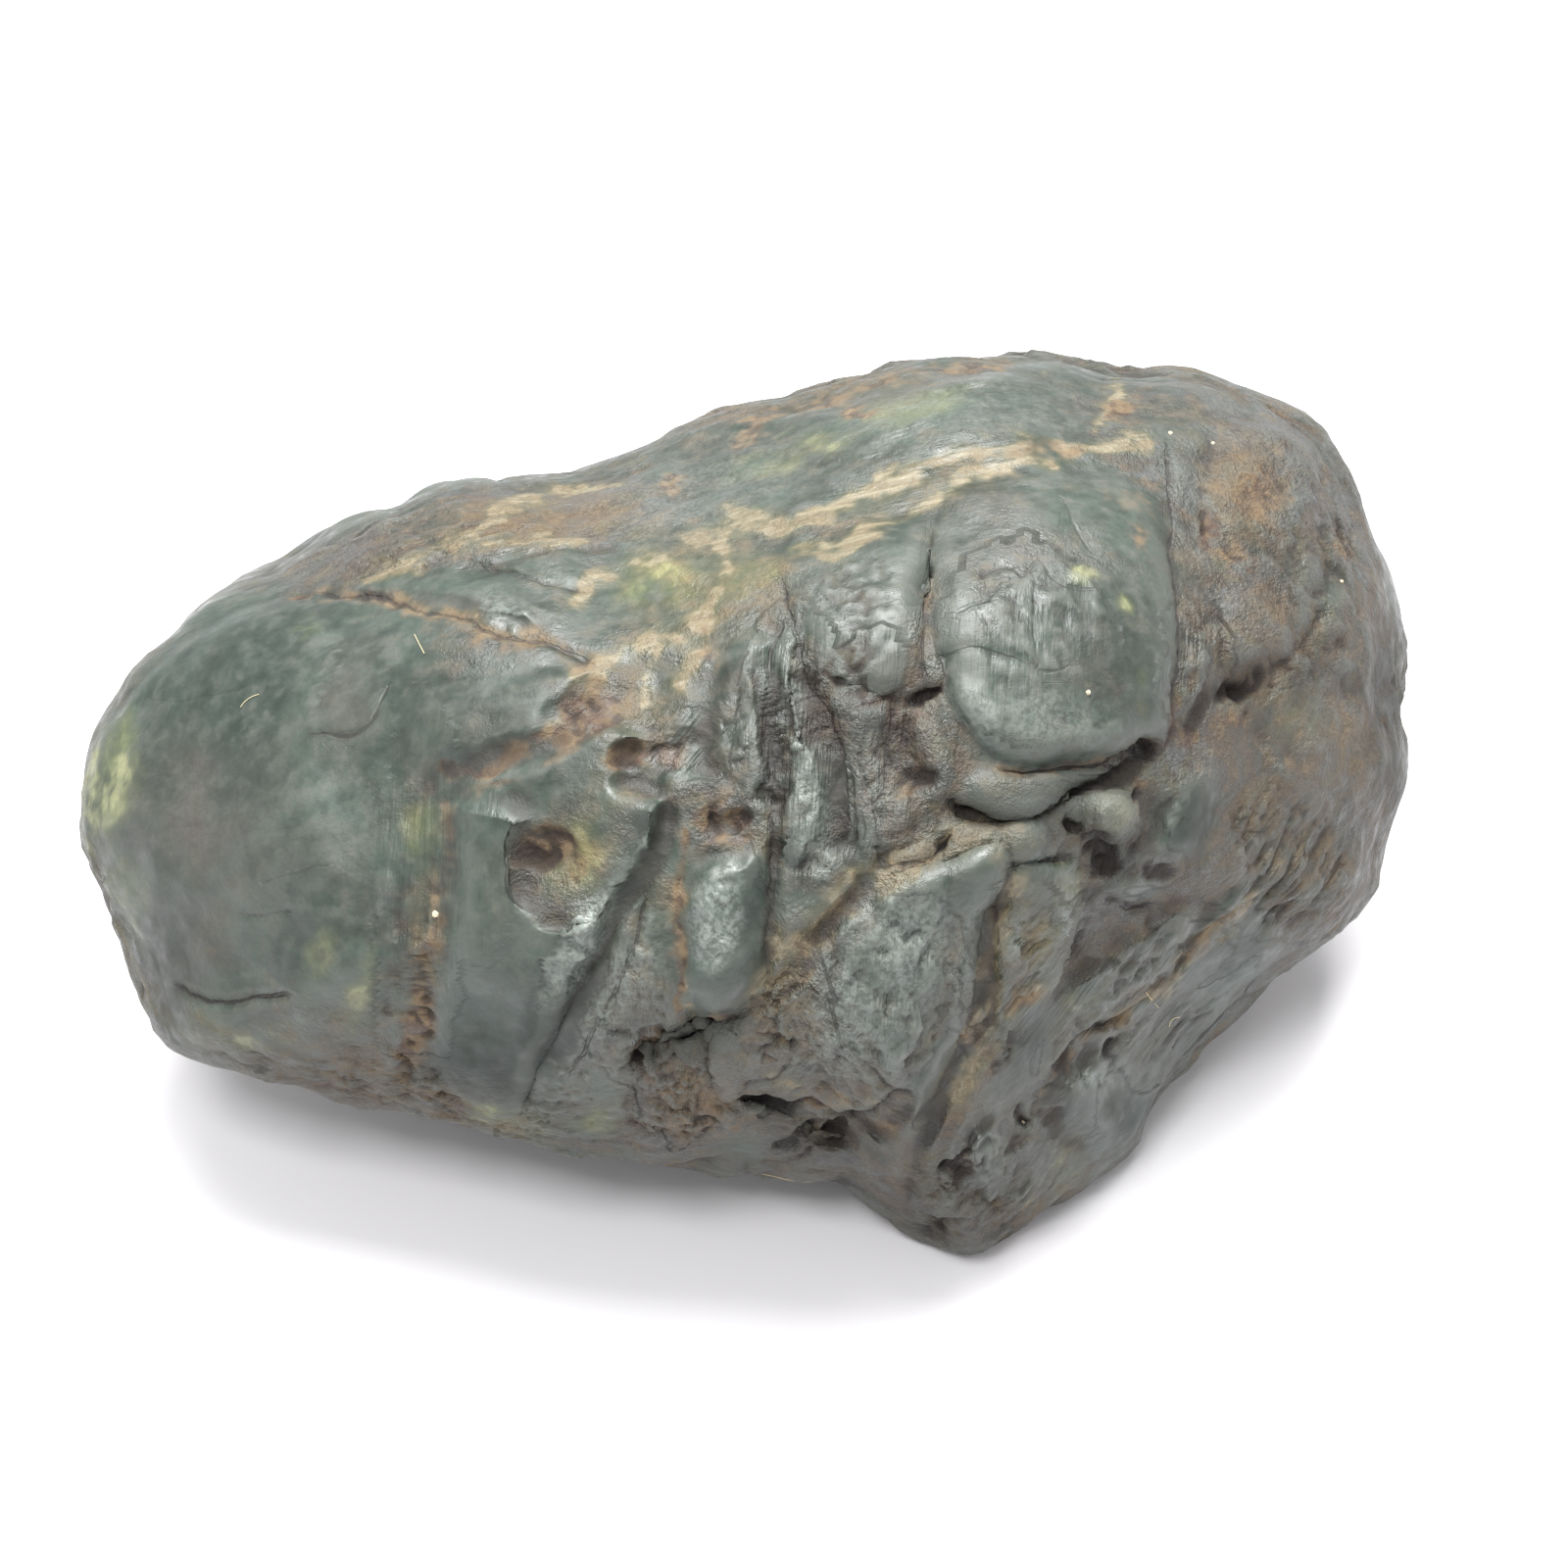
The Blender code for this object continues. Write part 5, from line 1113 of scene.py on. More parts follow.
def lines_mask(lines, core, s, t):
    """From 0 to each line's strength, which a core keeps full for that part of its width."""
    mask = np.zeros(len(s))
    for half_width, strength, route in lines.values():
        curve = curve_through(route, closed=False)
        reached = near(curve, s, t, 2 * half_width)
        away, _ = distance_to(curve, s[reached], t[reached], closed=False)
        mask[reached] = np.maximum(mask[reached], strength * np.clip(1 + core - away / half_width, 0, 1))
    return mask


def behind(name, side, points):
    """What grows by itself on the skin that isn't seen from the front."""
    size, seed, gain, start, least, most = BEHIND[name]
    return side * np.clip(gain * noise(points / size, seed) + start, least, most)


def lines_run(s, t):
    """The distance to the nearest crack, plus on one side and minus on the other, and its painted shade."""
    away = np.full(len(s), CRACK_REACH)
    signed, crack_shade = away.copy(), np.zeros(len(s))
    for _, deepest, route in CRACKS.values():
        curve = curve_through(route, closed=False)
        reached = near(curve, s, t, CRACK_REACH)
        spot = np.stack([s[reached], t[reached]], axis=1)
        for start, end in zip(curve[:-1], curve[1:]):
            run = end - start
            share = np.clip((spot - start) @ run / (run @ run), 0, 1)
            side = spot - start - share[:, None] * run
            far = np.hypot(*side.T)
            closer = far < away[reached]
            here = reached[closer]
            away[here] = far[closer]
            turn = run[0] * side[:, 1] - run[1] * side[:, 0]
            signed[here] = (far * np.sign(turn))[closer]
            crack_shade[here] = min(1.6 * deepest, 1)
        to_end = np.minimum(*(np.hypot(*(spot - tip).T) for tip in (curve[0], curve[-1])))
        crack_shade[reached] = np.minimum(crack_shade[reached], np.where(away[reached] < CRACK_REACH, to_end / 0.8, 1))
    return signed, crack_shade * np.clip(2 - 2 * away / CRACK_REACH, 0, 1)


def crust_at(s, t):
    """How brown and grainy the skin is: broad places first, then each block's own finish."""
    total, weight = np.full(len(s), 0.12), np.full(len(s), 0.3)
    for middle_s, middle_t, along, across, turn, value in CRUST.values():
        pull = patch_mask((middle_s, middle_t, 1.5 * along, 1.5 * across, turn, 1.0), s, t)
        total += pull * value
        weight += pull
    crust = total / weight
    _, owner = blocks_height(s, t)
    finish = np.array([BLOCK_CRUST[name] for name in BLOCKS])
    return np.where(owner >= 0, finish[owner], crust)


def fibre_axes(angle):
    """The directions along and across fibres that run at an angle on the sheet, and out of the sheet."""
    angle = math.radians(angle)
    right, up = np.array([1.0, 0, 0]), np.array([0, math.sin(LEAN), math.cos(LEAN)])
    out = np.array([0, -math.cos(LEAN), math.sin(LEAN)])
    along = right * math.cos(angle) + up * math.sin(angle)
    across = up * math.cos(angle) - right * math.sin(angle)
    return along, across, out


def cloud(points, size, seed, octaves=4):
    """Noise with finer noise in it, roughly from -1 to 1."""
    return sum(noise(points * 2**k / size, seed + 200 * k) * 0.6**k for k in range(octaves)) / 1.3


def facets(spot, seed):
    """Broken rock: each cell keeps a level and a tilt of its own."""
    rng = np.random.default_rng(seed)
    table = rng.permutation(256)
    jitter, tilt, step = rng.random((256, 3)), rng.normal(size=(256, 3)), rng.uniform(-1, 1, 256)
    cell = np.floor(spot).astype(int)
    nearest = np.full(len(spot), np.inf)
    level, mark = np.zeros(len(spot)), np.zeros(len(spot))
    for corner in itertools.product((-1, 0, 1), repeat=3):
        column, row, layer = ((cell + corner) & 255).T
        key = table[(table[(table[column] + row) & 255] + layer) & 255]
        run = spot - cell - corner - jitter[key]
        away = (run * run).sum(axis=1)
        closer = away < nearest
        nearest[closer] = away[closer]
        level[closer] = ((run * tilt[key]).sum(axis=1) + 0.5 * step[key])[closer]
        mark[closer] = step[key][closer]
    return level, mark


def splinters(points, angle):
    """Broken facets, stretched along fibres that run at an angle on the sheet."""
    along, across, out = fibre_axes(angle)
    bend = np.stack([noise(points / FIBRE_BEND_SIZE, seed) for seed in (81, 82, 83)], axis=1)
    bent = points + FIBRE_BEND * bend
    lifts, shade = [], np.zeros(len(points))
    for length, width, height, seed in FACETS:
        spot = np.stack([bent @ along / length, bent @ across / width, bent @ out / width], axis=1)
        level, mark = facets(spot, seed)
        lifts.append(height * level)
        shade += mark / len(FACETS)
    return np.stack(lifts, axis=1), shade


def ball_of_skin():
    """A ball with finer faces on the side that turns into the stone's front."""
    bpy.ops.object.select_all(action="DESELECT")
    bpy.ops.mesh.primitive_ico_sphere_add(subdivisions=BALL_STEPS, radius=1)
    ball = bpy.context.object
    bpy.ops.object.mode_set(mode="EDIT")
    bpy.ops.mesh.select_mode(type="FACE")
    bpy.ops.mesh.select_all(action="DESELECT")
    bpy.ops.object.mode_set(mode="OBJECT")
    centres = np.empty(len(ball.data.polygons) * 3, np.float32)
    ball.data.polygons.foreach_get("center", centres)
    ball.data.polygons.foreach_set("select", centres.reshape(-1, 3)[:, 2] > FRONT_STARTS)
    bpy.ops.object.mode_set(mode="EDIT")
    bpy.ops.mesh.subdivide(number_cuts=1)
    bpy.ops.mesh.select_all(action="DESELECT")
    bpy.ops.object.mode_set(mode="OBJECT")
    points = vertex_array(ball.data, "co")
    points /= np.linalg.norm(points, axis=1, keepdims=True)
    ball.data.vertices.foreach_set("co", points.ravel())
    return ball


def paint(mesh, name, values):
    layer = mesh.attributes.new(name, "FLOAT", "POINT")
    layer.data.foreach_set("value", values.astype(np.float32))


def wandered(place, points, seeds):
    """Places on the sheet, shifted so that what is drawn there gets a wandering, torn edge."""
    for (size, reach), seed in zip(EDGE_WANDER, seeds):
        place = place + reach * noise(points / size, seed)
    return place


def skin_paint(s, t, points, facing, edges):
    """The painted amounts of everything that the skin carries."""
    side = 1 - facing
    patchy, mottled = cloud(points, PATCHY_SIZE, 55), cloud(points, MOTTLED_SIZE, 56)
    paints = {"patchy": patchy, "mottled": mottled}
    for name, (patches, mottling) in MOTTLING.items():
        mask = patches_mask(patches, s, t)
        if name == "rust":
            mask = np.maximum(mask, lines_mask(RUST_LINES, LINE_CORE, s, t))
        mask = facing * mask
        if name in BEHIND:
            mask = mask + behind(name, side, points)
        paints[name] = np.clip(mask * (1 + mottling * mottled), 0, 1)
    paints["dusky"] = np.clip(paints["dusky"] + 0.3 * patchy, 0, 1)

    paints["smooth"] = np.clip(patches_mask(SMOOTH, s, t), 0, 1)
    crust = crust_at(s, t) * (1 - 0.8 * paints["smooth"])
    crust = smoothed(crust[:, None], edges, 3)[:, 0]
    crust = facing * crust + side * (CRUST_BEHIND + 0.5 * cloud(points, CRUST_BEHIND_SIZE, 91))
    broken_up = (0.30 * patchy + 0.22 * mottled) * np.clip(0.25 + 2 * crust, 0, 1)
    paints["crust"] = np.clip(crust + broken_up, 0, 1)

    pale = facing * lines_mask(VEINS, LINE_CORE, s, t)
    veins_behind = 1 - np.abs(noise(points / VEIN_BEHIND_SIZE, 94)) / VEIN_BEHIND_WIDTH
    pale += np.clip(veins_behind, 0, 1) * behind("pale", side, points)
    paints["pale"] = np.clip(pale * (1 + 0.9 * mottled + 0.5 * patchy), 0, 1)
    ochre = facing * patches_mask(OCHRE, s, t) + 0.35 * side
    paints["ochre"] = np.clip(ochre + 0.5 * patchy - 0.15, 0, 1)
    torn = 1 + 0.9 * noise(points / 1.2, 98)
    # Holes are sunk into the skin and painted as shade.
    paints["hole_and_shade"] = np.clip(facing * patches_mask(HOLES, s, t) * torn, 0, 1)
    crumbs = np.clip(0.2 + 1.3 * cloud(points, CRUMB_SIZE, 100, 2), 0, 1)
    paints["crumbs"] = crumbs * paints["crumbly"]
    return paints


def skin_fibres(s, t, points, facing, smooth):
    """How strongly the fibres of each direction show, and each direction's share of them."""
    weights = {}
    for name, (_, patches) in FIBRES.items():
        weights[name] = facing * (1 - smooth) * patches_mask(patches, s, t)
    weights["level"] = weights["level"] + behind("fibres", 1 - facing, points)
    splinter = sum(weights.values())
    base = {name: weight + 0.05 * (name == "level") for name, weight in weights.items()}
    return splinter, base


def skin_relief(points, paints, splinter, base, side, edges):
    """How far the fine relief lifts or sinks the skin, and the shade of the broken facets."""
    lift = sum(height * (0.4 - 1.6 * np.abs(noise(points / size, seed))) for size, height, seed in CRUMPLE)
    lift *= 0.25 + 0.75 * np.clip(paints["patchy"] + 0.6, 0, 1)
    broken, flake = np.zeros((len(points), len(FACETS))), np.zeros(len(points))
    for name, (angle, _) in FIBRES.items():
        share = base[name] / (splinter + 0.05)
        lifted, shade = splinters(points, angle)
        broken += share[:, None] * lifted
        flake += share * shade
    crust = paints["crust"]
    worn = smoothed(broken[:, :2], edges, 3).sum(axis=1)
    torn_rock = np.clip(1.4 * splinter, 0, 1) * np.clip(2.2 * crust - 0.2, 0, 1) * (1 - 0.5 * side)
    worn *= (POLISHED_FACETS + CRUSTED_FACETS * crust) * (1 - torn_rock)
    lift += worn + broken.sum(axis=1) * torn_rock
    chips, _ = facets(points / CHIP_SIZE, 99)
    lift += CHIP_HEIGHT * paints["crumpled"] * chips
    lift -= HOLE_DEPTH * paints["hole_and_shade"]
    lift -= CRUMB_DEPTH * paints["crumbs"]
    pits = np.clip(noise(points / PIT_SIZE, 97) + 0.1, 0, 1)
    lift -= PIT_DEPTH * pits * np.clip(1.4 * paints["rust"] - 0.3, 0, 1)
    return lift, flake


def sunk(points, normals, edges, rounds):
    """How far each place lies under its surroundings, which grow with the rounds."""
    return ((smoothed(points, edges, rounds) - points) * normals).sum(axis=1)


def dress_skin(mesh, ball):
    """Adds the fine relief to the solid's form, and the paint that the material reads."""
    drawn_s, drawn_t = mesh_on_sheet(ball)
    facing = np.clip(ball[:, 2] / 0.25, 0, 1)
    points = vertex_array(mesh, "co") / MM
    normals = vertex_array(mesh, "normal")
    edges = np.empty(len(mesh.edges) * 2, np.int32)
    mesh.edges.foreach_get("vertices", edges)
    edges = edges.reshape(-1, 2)

    s, t = wandered(drawn_s, points, (51, 52)), wandered(drawn_t, points, (53, 54))
    crack_s, crack_t = drawn_s + CRACK_WANDER * (s - drawn_s), drawn_t + CRACK_WANDER * (t - drawn_t)
    paints = skin_paint(s, t, points, facing, edges)
    splinter, base = skin_fibres(s, t, points, facing, paints["smooth"])
    lift, paints["flake"] = skin_relief(points, paints, splinter, base, 1 - facing, edges)
    lift -= facing * lines_mask(CRACKS, CRACK_CORE, crack_s, crack_t)
    lift *= np.clip(points[:, 2] / FLAT_GUARD, 0, 1)
    points = points + normals * lift[:, None]
    mesh.vertices.foreach_set("co", (points * MM).ravel())
    mesh.update()

    normals = vertex_array(mesh, "normal")
    paints["hollow"] = np.clip(sunk(points, normals, edges, HOLLOW_ROUNDS) / HOLLOW_DEPTH, -1, 1)
    paints["valley"] = np.clip(sunk(points, normals, edges, VALLEY_ROUNDS) / VALLEY_DEPTH, -1, 1)
    paints["splinter"] = np.clip(splinter, 0, 1)
    # The pits of the crumbs join the holes in the painted shade.
    paints["hole_and_shade"] = np.maximum(paints["hole_and_shade"], 0.4 * paints["crumbs"])
    paints["line_away"], line_shade = lines_run(crack_s, crack_t)
    paints["line_shade"] = facing * line_shade
    for name, values in paints.items():
        if name not in ("smooth", "crumbs"):
            paint(mesh, name, values)

    # The grain runs the way of the strongest fibres.
    ways = []
    for angle, _ in FIBRES.values():
        steps = zip(fibre_axes(angle), GRAIN_STEPS)
        ways.append(np.stack([points @ axis / step for axis, step in steps], axis=1))
    strongest = np.argmax(list(base.values()), axis=0)
    grain_place = np.choose(strongest[:, None], ways)
    layer = mesh.attributes.new("grain_place", "FLOAT_VECTOR", "POINT")
    layer.data.foreach_set("vector", grain_place.astype(np.float32).ravel())


def mesh_on_sheet(ball):
    """Where the points of the ball lie on the sheet."""
    out = np.minimum(np.hypot(ball[:, 0], ball[:, 1]), 1)
    angle = np.arctan2(ball[:, 1], ball[:, 0])
    far, _ = rim_at(angle)
    return HEART[0] + out * far * np.cos(angle), HEART[1] + out * far * np.sin(angle)


class Board:
    """A node tree that is built up as it is written."""

    def __init__(self, tree):
        self.tree = tree
        self.tree.nodes.clear()

    def put(self, kind, values=None, **settings):
        node = self.tree.nodes.new(kind)
        for key, value in settings.items():
            setattr(node, key, value)
        for key, value in (values or {}).items():
            socket = node.inputs[key]
            if isinstance(value, bpy.types.NodeSocket):
                self.tree.links.new(value, socket)
            else:
                socket.default_value = value
        return node

    def math(self, operation, first, second=0.0, clamp=False):
        values = {0: first, 1: second}
        return self.put("ShaderNodeMath", values, operation=operation, use_clamp=clamp).outputs[0]

    def times(self, first, second):
        return self.math("MULTIPLY", first, second)

    def plus(self, first, second, clamp=False):
        return self.math("ADD", first, second, clamp)

    def minus(self, first, second):
        return self.math("SUBTRACT", first, second)

    def blend(self, share, low, high, mode="MIX"):
        """Two colours mixed by a share. The mixer's colours are inputs 6 and 7, its result is output 2."""
        values = {0: share, 6: low, 7: high}
        for place in (6, 7):
            if not isinstance(values[place], bpy.types.NodeSocket):
                values[place] = (*values[place], 1)
        node = self.put("ShaderNodeMix", values, data_type="RGBA", blend_type=mode, clamp_factor=True)
        return node.outputs[2]

    def between(self, share, low, high):
        node = self.put("ShaderNodeMapRange", {"Value": share, "To Min": low, "To Max": high})
        return node.outputs[0]

    def stepped(self, value, start, end, low=0.0, high=1.0):
        node = self.put(
            "ShaderNodeMapRange",
            {"Value": value, "From Min": start, "From Max": end, "To Min": low, "To Max": high},
            interpolation_type="SMOOTHSTEP")
        return node.outputs[0]

    def painted(self, name):
        node = self.put("ShaderNodeAttribute", attribute_type="GEOMETRY", attribute_name=name)
        return node.outputs["Fac"]

    def noise(self, place, scale, detail=3.0, roughness=0.55, distortion=0.0):
        return self.put("ShaderNodeTexNoise", {
            "Vector": place, "Scale": scale, "Detail": detail, "Roughness": roughness,
            "Distortion": distortion}).outputs["Fac"]


def new_group(name, takes, gives):
    tree = bpy.data.node_groups.new(name, "ShaderNodeTree")
    for label, kind, value in takes:
        socket = tree.interface.new_socket(name=label, in_out="INPUT", socket_type=kind)
        if value is not None:
            socket.default_value = value
    for label, kind in gives:
        tree.interface.new_socket(name=label, in_out="OUTPUT", socket_type=kind)
    board = Board(tree)
    start = board.put("NodeGroupInput")
    end = board.put("NodeGroupOutput")
    return tree, board, start.outputs, end.inputs


def torn_mask():
    """A painted amount, broken up by a grain of noise into a mask with a torn edge."""
    tree, board, takes, gives = new_group(
        "torn_mask",
        [("Amount", "NodeSocketFloat", 0.0), ("Grain", "NodeSocketFloat", 0.5),
         ("Tear", "NodeSocketFloat", 0.8), ("Edge", "NodeSocketFloat", 0.15)],
        [("Mask", "NodeSocketFloat")])
    torn = board.times(board.minus(takes["Grain"], 0.5), takes["Tear"])
    level = board.plus(takes["Amount"], torn)
    low, high = board.minus(0.5, takes["Edge"]), board.plus(0.5, takes["Edge"])
    mask = board.stepped(level, low, high)
    used = board.times(mask, board.stepped(takes["Amount"], 0.0, 0.15))
    board.tree.links.new(used, gives["Mask"])
    return tree


def jade_colour(board, noises, moss):
    """Jade: blue-green where it is clear and polished, lighter and greyer where it is clouded."""
    broad, fleck, flake = noises["broad"], noises["fleck"], board.painted("flake")
    jade = board.blend(board.stepped(broad, 0.40, 0.60), JADE_DEEP, JADE_CLEAR)
    jade = board.blend(board.stepped(board.painted("mottled"), 0.0, 0.6, 0, 0.22), jade, JADE_CLOUD)
    jade = board.blend(board.stepped(fleck, 0.50, 0.68, 0, 0.28), jade, JADE_CLOUD)
    jade = board.blend(board.stepped(fleck, 0.48, 0.34, 0, 0.28), jade, JADE_DARK)
    jade = board.blend(board.stepped(flake, 0.05, 0.6, 0, 0.3), jade, JADE_CLOUD)
    jade = board.blend(board.stepped(flake, -0.05, -0.6, 0, 0.3), jade, JADE_DARK)
    dusky = board.times(board.painted("dusky"), board.stepped(broad, 0.34, 0.62, 0.35, 0.75))
    jade = board.blend(dusky, jade, JADE_DUSK)
    green = board.blend(board.stepped(board.painted("moss"), 0.5, 1.0), MOSS_GREEN, MOSS_PALE)
    return board.blend(board.times(moss, 0.85), jade, green)


def crust_colour(board, noises, ochre):
    """Crust: earth-brown to grey, with ochre and sand in it, and rusty where it crumbles."""
    fleck = noises["fleck"]
    kind = board.plus(board.painted("patchy"), board.times(board.painted("flake"), 1.2))
    earth = board.blend(board.stepped(kind, -0.3, 0.3), CRUST_BROWN, CRUST_GREY)
    earth = board.blend(board.stepped(kind, 0.2, 0.8, 0, 0.8), earth, CRUST_SLATE)
    earth = board.blend(board.stepped(board.painted("mottled"), 0.15, 0.6, 0, 0.5), earth, CRUST_OLIVE)
    earth = board.blend(board.stepped(fleck, 0.5, 0.36, 0, 0.45), earth, CRUST_DARK)
    earth = board.blend(board.times(ochre, 0.75), earth, CRUST_OCHRE)
    earth = board.blend(board.stepped(fleck, 0.56, 0.70, 0, 0.3), earth, CRUST_SAND)
    crumbs = board.blend(board.stepped(fleck, 0.4, 0.6), RUST_DARK, CRUST_OCHRE)
    return board.blend(board.times(board.painted("crumbly"), 0.6), earth, crumbs)


def veins_and_rust(board, noises, colour, pale, rust):
    """Earth soaks into the skin and turns it warm, then come the pale threads of the veins, then rust."""
    fleck = noises["fleck"]
    soaked = board.times(board.painted("pale"), 0.5)
    soaked = board.plus(board.painted("ochre"), soaked, clamp=True)
    colour = board.blend(soaked, colour, board.blend(1.0, colour, WARM_TINT, mode="MULTIPLY"))
    richness = board.times(board.minus(fleck, 0.5), 1.6)
    richness = board.plus(board.painted("pale"), richness)
    vein = board.blend(board.stepped(richness, 0.45, 1.0), VEIN_OLIVE, VEIN_CREAM)
    streaks = board.times(board.stepped(noises["thread"], 0.46, 0.66), board.stepped(richness, 0.4, 0.9))
    vein = board.blend(board.times(streaks, 0.6), vein, VEIN_WHITE)
    colour = board.blend(board.times(pale, 0.85), colour, vein)
    rusty = board.blend(board.stepped(fleck, 0.38, 0.62), RUST_DARK, RUST_GOLD)
    return board.blend(board.times(rust, 0.9), colour, rusty)


def grain_shade(board, noises, colour):
    """Dark jade, painted shade and the rock's grain, which scale every colour by the same share."""
    # Dark jade and painted shade in the deep places.
    shade = board.blend(1.0, colour, DARK_AND_SHADE_TINT, mode="MULTIPLY")
    colour = board.blend(board.painted("dark_jade_and_shade"), colour, shade)
    crust = board.painted("crust")
    darkest, lightest = board.between(crust, 0.70, 0.35), board.between(crust, 1.30, 1.65)
    light = board.between(noises["grain"], darkest, lightest)
    fibrous = board.minus(noises["thread"], 0.5)
    fibrous = board.times(fibrous, board.painted("splinter"))
    light = board.plus(light, board.times(fibrous, FIBRE_SHADE))
    return board.put("ShaderNodeVectorMath", {0: colour, 3: light}, operation="SCALE").outputs[0]


def crack_line(board, noises):
    """A crack is a fine line of painted shade, darker where deeper, wider in some places than others."""
    line = board.math("ABSOLUTE", board.painted("line_away"))
    uneven = board.times(board.minus(noises["fleck"], 0.5), 0.5)
    line = board.plus(line, uneven)
    return board.times(board.stepped(line, 0.22, 0.04), board.painted("line_shade"))


def clefts_painted_shade(board):
    """How much painted shade darkens the clefts, hollows and holes."""
    hollow, valley = board.painted("hollow"), board.painted("valley")
    in_valleys = board.stepped(valley, 0.35, 1.0, 0, 0.25)
    in_hollows = board.stepped(hollow, 0.2, 1.0, 0, 0.6)
    dirt_and_shade = board.plus(in_valleys, in_hollows, clamp=True)
    return board.plus(dirt_and_shade, board.painted("hole_and_shade"), clamp=True)


def painted_ridge_highlights(board, noises, colour):
    """Painted highlights: paler on crumpled ridges, and white where the broken fibres catch the light."""
    # How much the crumpled places shine, for the painted highlight on their ridges.
    worn = board.between(board.painted("crumpled"), 0.35, 0.8)
    ridge_highlight = board.times(board.stepped(board.painted("hollow"), -0.1, -0.8), worn)
    colour = board.blend(ridge_highlight, colour, JADE_CLOUD)
    shine = board.stepped(noises["grain"], 0.38, 0.62, 0.25, 0.85)
    return board.blend(board.times(board.painted("painted_highlight"), shine), colour, HIGHLIGHT_WHITE)


def skin_bump(board, noises, line):
    """The grain that is too fine for the mesh."""
    fibre = board.between(board.painted("splinter"), *FIBRE_HEIGHTS)
    fibre = board.times(noises["thread"], fibre)
    roughened = board.stepped(board.painted("crust"), 0.15, 1.0, *GRAIN_HEIGHTS)
    height = board.plus(board.times(noises["grain"], roughened), fibre)
    height = board.minus(height, board.times(line, CRACK_GROOVE))
    return board.put("ShaderNodeBump", {"Height": height, "Distance": MM, "Strength": 1.0}).outputs[0]


def skin_roughness(board, noises, crust, rust, dirt_and_shade):
    rough = board.between(crust, POLISHED_ROUGHNESS, CRUST_ROUGHNESS)
    fleck = board.times(board.minus(noises["fleck"], 0.5), FLECK_ROUGHNESS)
    rough = board.plus(rough, fleck)
    rough = board.plus(rough, board.times(rust, 0.2))
    rough = board.minus(rough, board.times(board.painted("crumpled"), 0.08))
    rough = board.plus(rough, board.times(dirt_and_shade, 0.2))
    return board.plus(rough, board.times(board.painted("dark_jade_and_shade"), 0.3), clamp=True)


def nephrite():
    material = bpy.data.materials.new("nephrite_skin")
    material.use_nodes = True
    board = Board(material.node_tree)
    torn_by = torn_mask()
    place = board.put("ShaderNodeTexCoord").outputs["Object"]
    place = board.put("ShaderNodeVectorMath", {0: place, 3: 1 / MM}, operation="SCALE").outputs[0]
    grain_place = board.put("ShaderNodeAttribute", attribute_type="GEOMETRY", attribute_name="grain_place")
    noises = {
        "broad": board.noise(place, *BROAD_NOISE),
        "fleck": board.noise(place, *FLECK_NOISE),
        "grain": board.noise(place, *GRAIN_NOISE),
        "thread": board.noise(grain_place.outputs["Vector"], *THREAD_NOISE),
    }

    def torn(name, grain, tear, edge):
        node = board.put("ShaderNodeGroup", {
            "Amount": board.painted(name), "Grain": noises[grain], "Tear": tear, "Edge": edge},
            node_tree=torn_by)
        return node.outputs["Mask"]

    crust = torn("crust", "fleck", board.stepped(board.painted("crust"), 0.1, 0.6, 0.25, 1.0), 0.50)
    moss = torn("moss", "broad", 0.9, 0.45)
    rust = torn("rust", "fleck", 1.0, 0.48)
    pale = torn("pale", "fleck", 1.0, 0.50)
    ochre = torn("ochre", "fleck", 1.0, 0.50)

    crusted = board.math("MAXIMUM", crust, board.painted("crumbly"))
    colour = board.blend(
        board.times(crusted, 0.9), jade_colour(board, noises, moss),
        crust_colour(board, noises, ochre))
    colour = veins_and_rust(board, noises, colour, pale, rust)
    colour = grain_shade(board, noises, colour)
    # Painted shade: the cracks, clefts, hollows and holes turn towards near black.
    line, dirt_and_shade = crack_line(board, noises), clefts_painted_shade(board)
    colour = board.blend(board.times(line, 0.8), colour, CREVICE_SHADE)
    colour = board.blend(board.times(dirt_and_shade, 0.85), colour, CREVICE_SHADE)
    colour = painted_ridge_highlights(board, noises, colour)
    rough = skin_roughness(board, noises, crust, rust, dirt_and_shade)
    shader = board.put("ShaderNodeBsdfPrincipled", {
        "Base Color": colour, "Roughness": rough, "Metallic": 0.0, "IOR": JADE_IOR,
        "Specular IOR Level": JADE_GLINT, "Normal": skin_bump(board, noises, line)})
    output = board.put("ShaderNodeOutputMaterial")
    board.tree.links.new(shader.outputs[0], output.inputs["Surface"])
    return material


def carve_stone():
    stone = ball_of_skin()
    ball = vertex_array(stone.data, "co")
    shape_stone(stone.data)
    dress_skin(stone.data, ball)
    stone.name = "jade_skin"
    stone.data.name = "jade_skin"
    stone.data.materials.append(nephrite())
    bpy.ops.object.shade_smooth()
    return stone, ball


def skin_under(stone, ball, spots):
    """The points of the skin that lie under spots on the sheet."""
    s, t = mesh_on_sheet(ball)
    behind = np.where(ball[:, 2] > 0, 0, REACH)
    points = vertex_array(stone.data, "co")
    return [Vector(points[np.argmin(np.hypot(s - at_s, t - at_t) + behind)]) for at_s, at_t in spots]


def plain_material(name, colour, roughness):
    material = bpy.data.materials.new(name)
    material.use_nodes = True
    shader = material.node_tree.nodes["Principled BSDF"]
    shader.inputs["Base Color"].default_value = (*colour, 1)
    shader.inputs["Roughness"].default_value = roughness
    return material


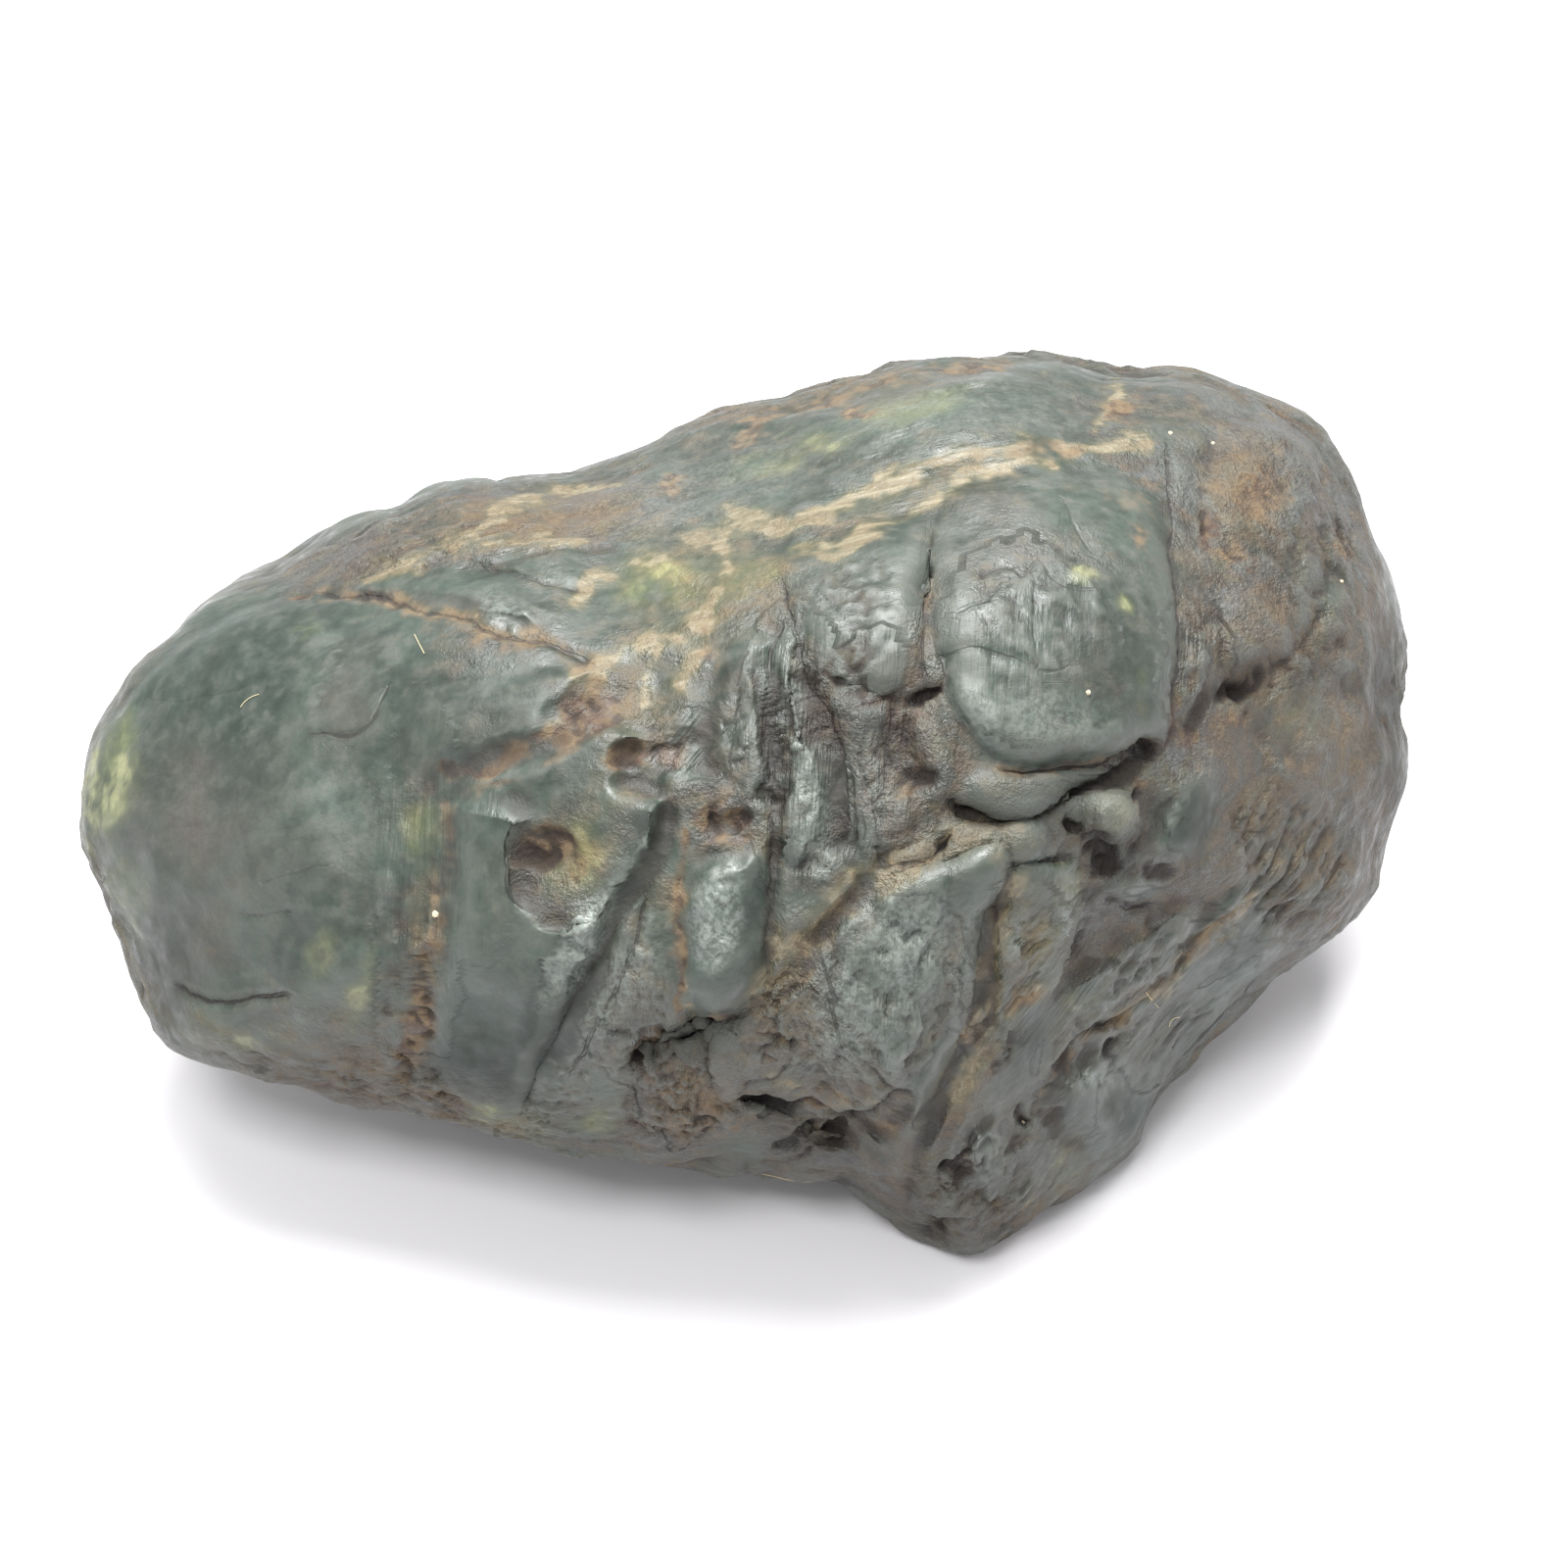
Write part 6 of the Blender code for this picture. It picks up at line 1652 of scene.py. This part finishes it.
def sand_grains(stone, ball):
    """Grains of sand that sit half sunk in the skin, each one a rough little lump."""
    grains = []
    places = skin_under(stone, ball, [grain[:2] for grain in SAND_GRAINS])
    for number, (place, (_, _, width)) in enumerate(zip(places, SAND_GRAINS)):
        bpy.ops.object.select_all(action="DESELECT")
        bpy.ops.mesh.primitive_ico_sphere_add(subdivisions=2, radius=width / 2 * MM, location=place)
        bpy.ops.object.mode_set(mode="EDIT")
        bpy.ops.transform.vertex_random(offset=GRAIN_ROUGHNESS * width * MM, seed=number)
        bpy.ops.object.mode_set(mode="OBJECT")
        grains.append(bpy.context.object)
    for grain in grains:
        grain.select_set(True)
    bpy.ops.object.join()
    bpy.ops.object.transform_apply(location=True, rotation=True, scale=True)
    sand = bpy.context.object
    sand.name = "sand_grains"
    sand.data.materials.append(plain_material("pale_sand", SAND, SAND_ROUGHNESS))
    return sand


def lint_fibres(stone, ball):
    """Fine fibres of lint that lie on the skin."""
    threads = bpy.data.curves.new("lint_threads", "CURVE")
    threads.dimensions = "3D"
    threads.bevel_depth = LINT_RADIUS * MM
    threads.bevel_resolution = 1
    threads.use_fill_caps = True
    lift = Vector((0, -math.cos(LEAN), math.sin(LEAN))) * LINT_LIFT * MM
    for route in LINT.values():
        spline = threads.splines.new("NURBS")
        spline.points.add(len(route) - 1)
        for point, place in zip(spline.points, skin_under(stone, ball, route)):
            point.co = (*(place + lift), 1)
        spline.order_u = 3
        spline.use_endpoint_u = True
    lint = bpy.data.objects.new("lint", threads)
    bpy.context.scene.collection.objects.link(lint)
    bpy.ops.object.select_all(action="DESELECT")
    lint.select_set(True)
    bpy.context.view_layer.objects.active = lint
    bpy.ops.object.convert(target="MESH")
    lint = bpy.context.object
    lint.data.materials.append(plain_material("cream_lint", LINT_CREAM, LINT_ROUGHNESS))
    return lint


def studio():
    """A white floor, an even white room and a wide soft light overhead, a little behind the stone."""
    bpy.ops.object.select_all(action="DESELECT")
    bpy.ops.mesh.primitive_plane_add(size=FLOOR_WIDTH)
    floor = bpy.context.object
    floor.name = "floor"
    floor.data.materials.append(plain_material("white_paper", PAPER, PAPER_ROUGHNESS))

    world = bpy.data.worlds.new("white_room")
    world.use_nodes = True
    room = world.node_tree.nodes["Background"]
    room.inputs["Color"].default_value = (1, 1, 1, 1)
    room.inputs["Strength"].default_value = ROOM_LIGHT
    bpy.context.scene.world = world
    for name, at, size, energy in SOFT_LIGHTS:
        lamp = bpy.data.lights.new(name, "AREA")
        lamp.shape = "SQUARE"
        lamp.size = size
        lamp.energy = energy
        holder = bpy.data.objects.new(name, lamp)
        holder.location = at
        aim = Vector(LIGHTS_AIM_AT) - Vector(at)
        holder.rotation_euler = aim.to_track_quat("-Z", "Y").to_euler()
        bpy.context.scene.collection.objects.link(holder)


def camera():
    lens = bpy.data.cameras.new("camera")
    lens.sensor_width = SENSOR
    lens.lens = REACH * SENSOR / FRAME_WIDTH
    holder = bpy.data.objects.new("camera", lens)
    back = Vector((0, -math.cos(LEAN), math.sin(LEAN)))
    holder.location = (Vector(SHEET_MIDDLE) + back * REACH) * MM
    holder.rotation_euler = (-back).to_track_quat("-Z", "Y").to_euler()
    bpy.context.scene.collection.objects.link(holder)
    bpy.context.scene.camera = holder


stone, ball = carve_stone()
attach(stone, "root")
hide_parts("cobble")
for dirt_and_shade in (sand_grains(stone, ball), lint_fibres(stone, ball)):
    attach(dirt_and_shade, "root")
studio()
camera()
bpy.context.scene.view_settings.view_transform = "Standard"
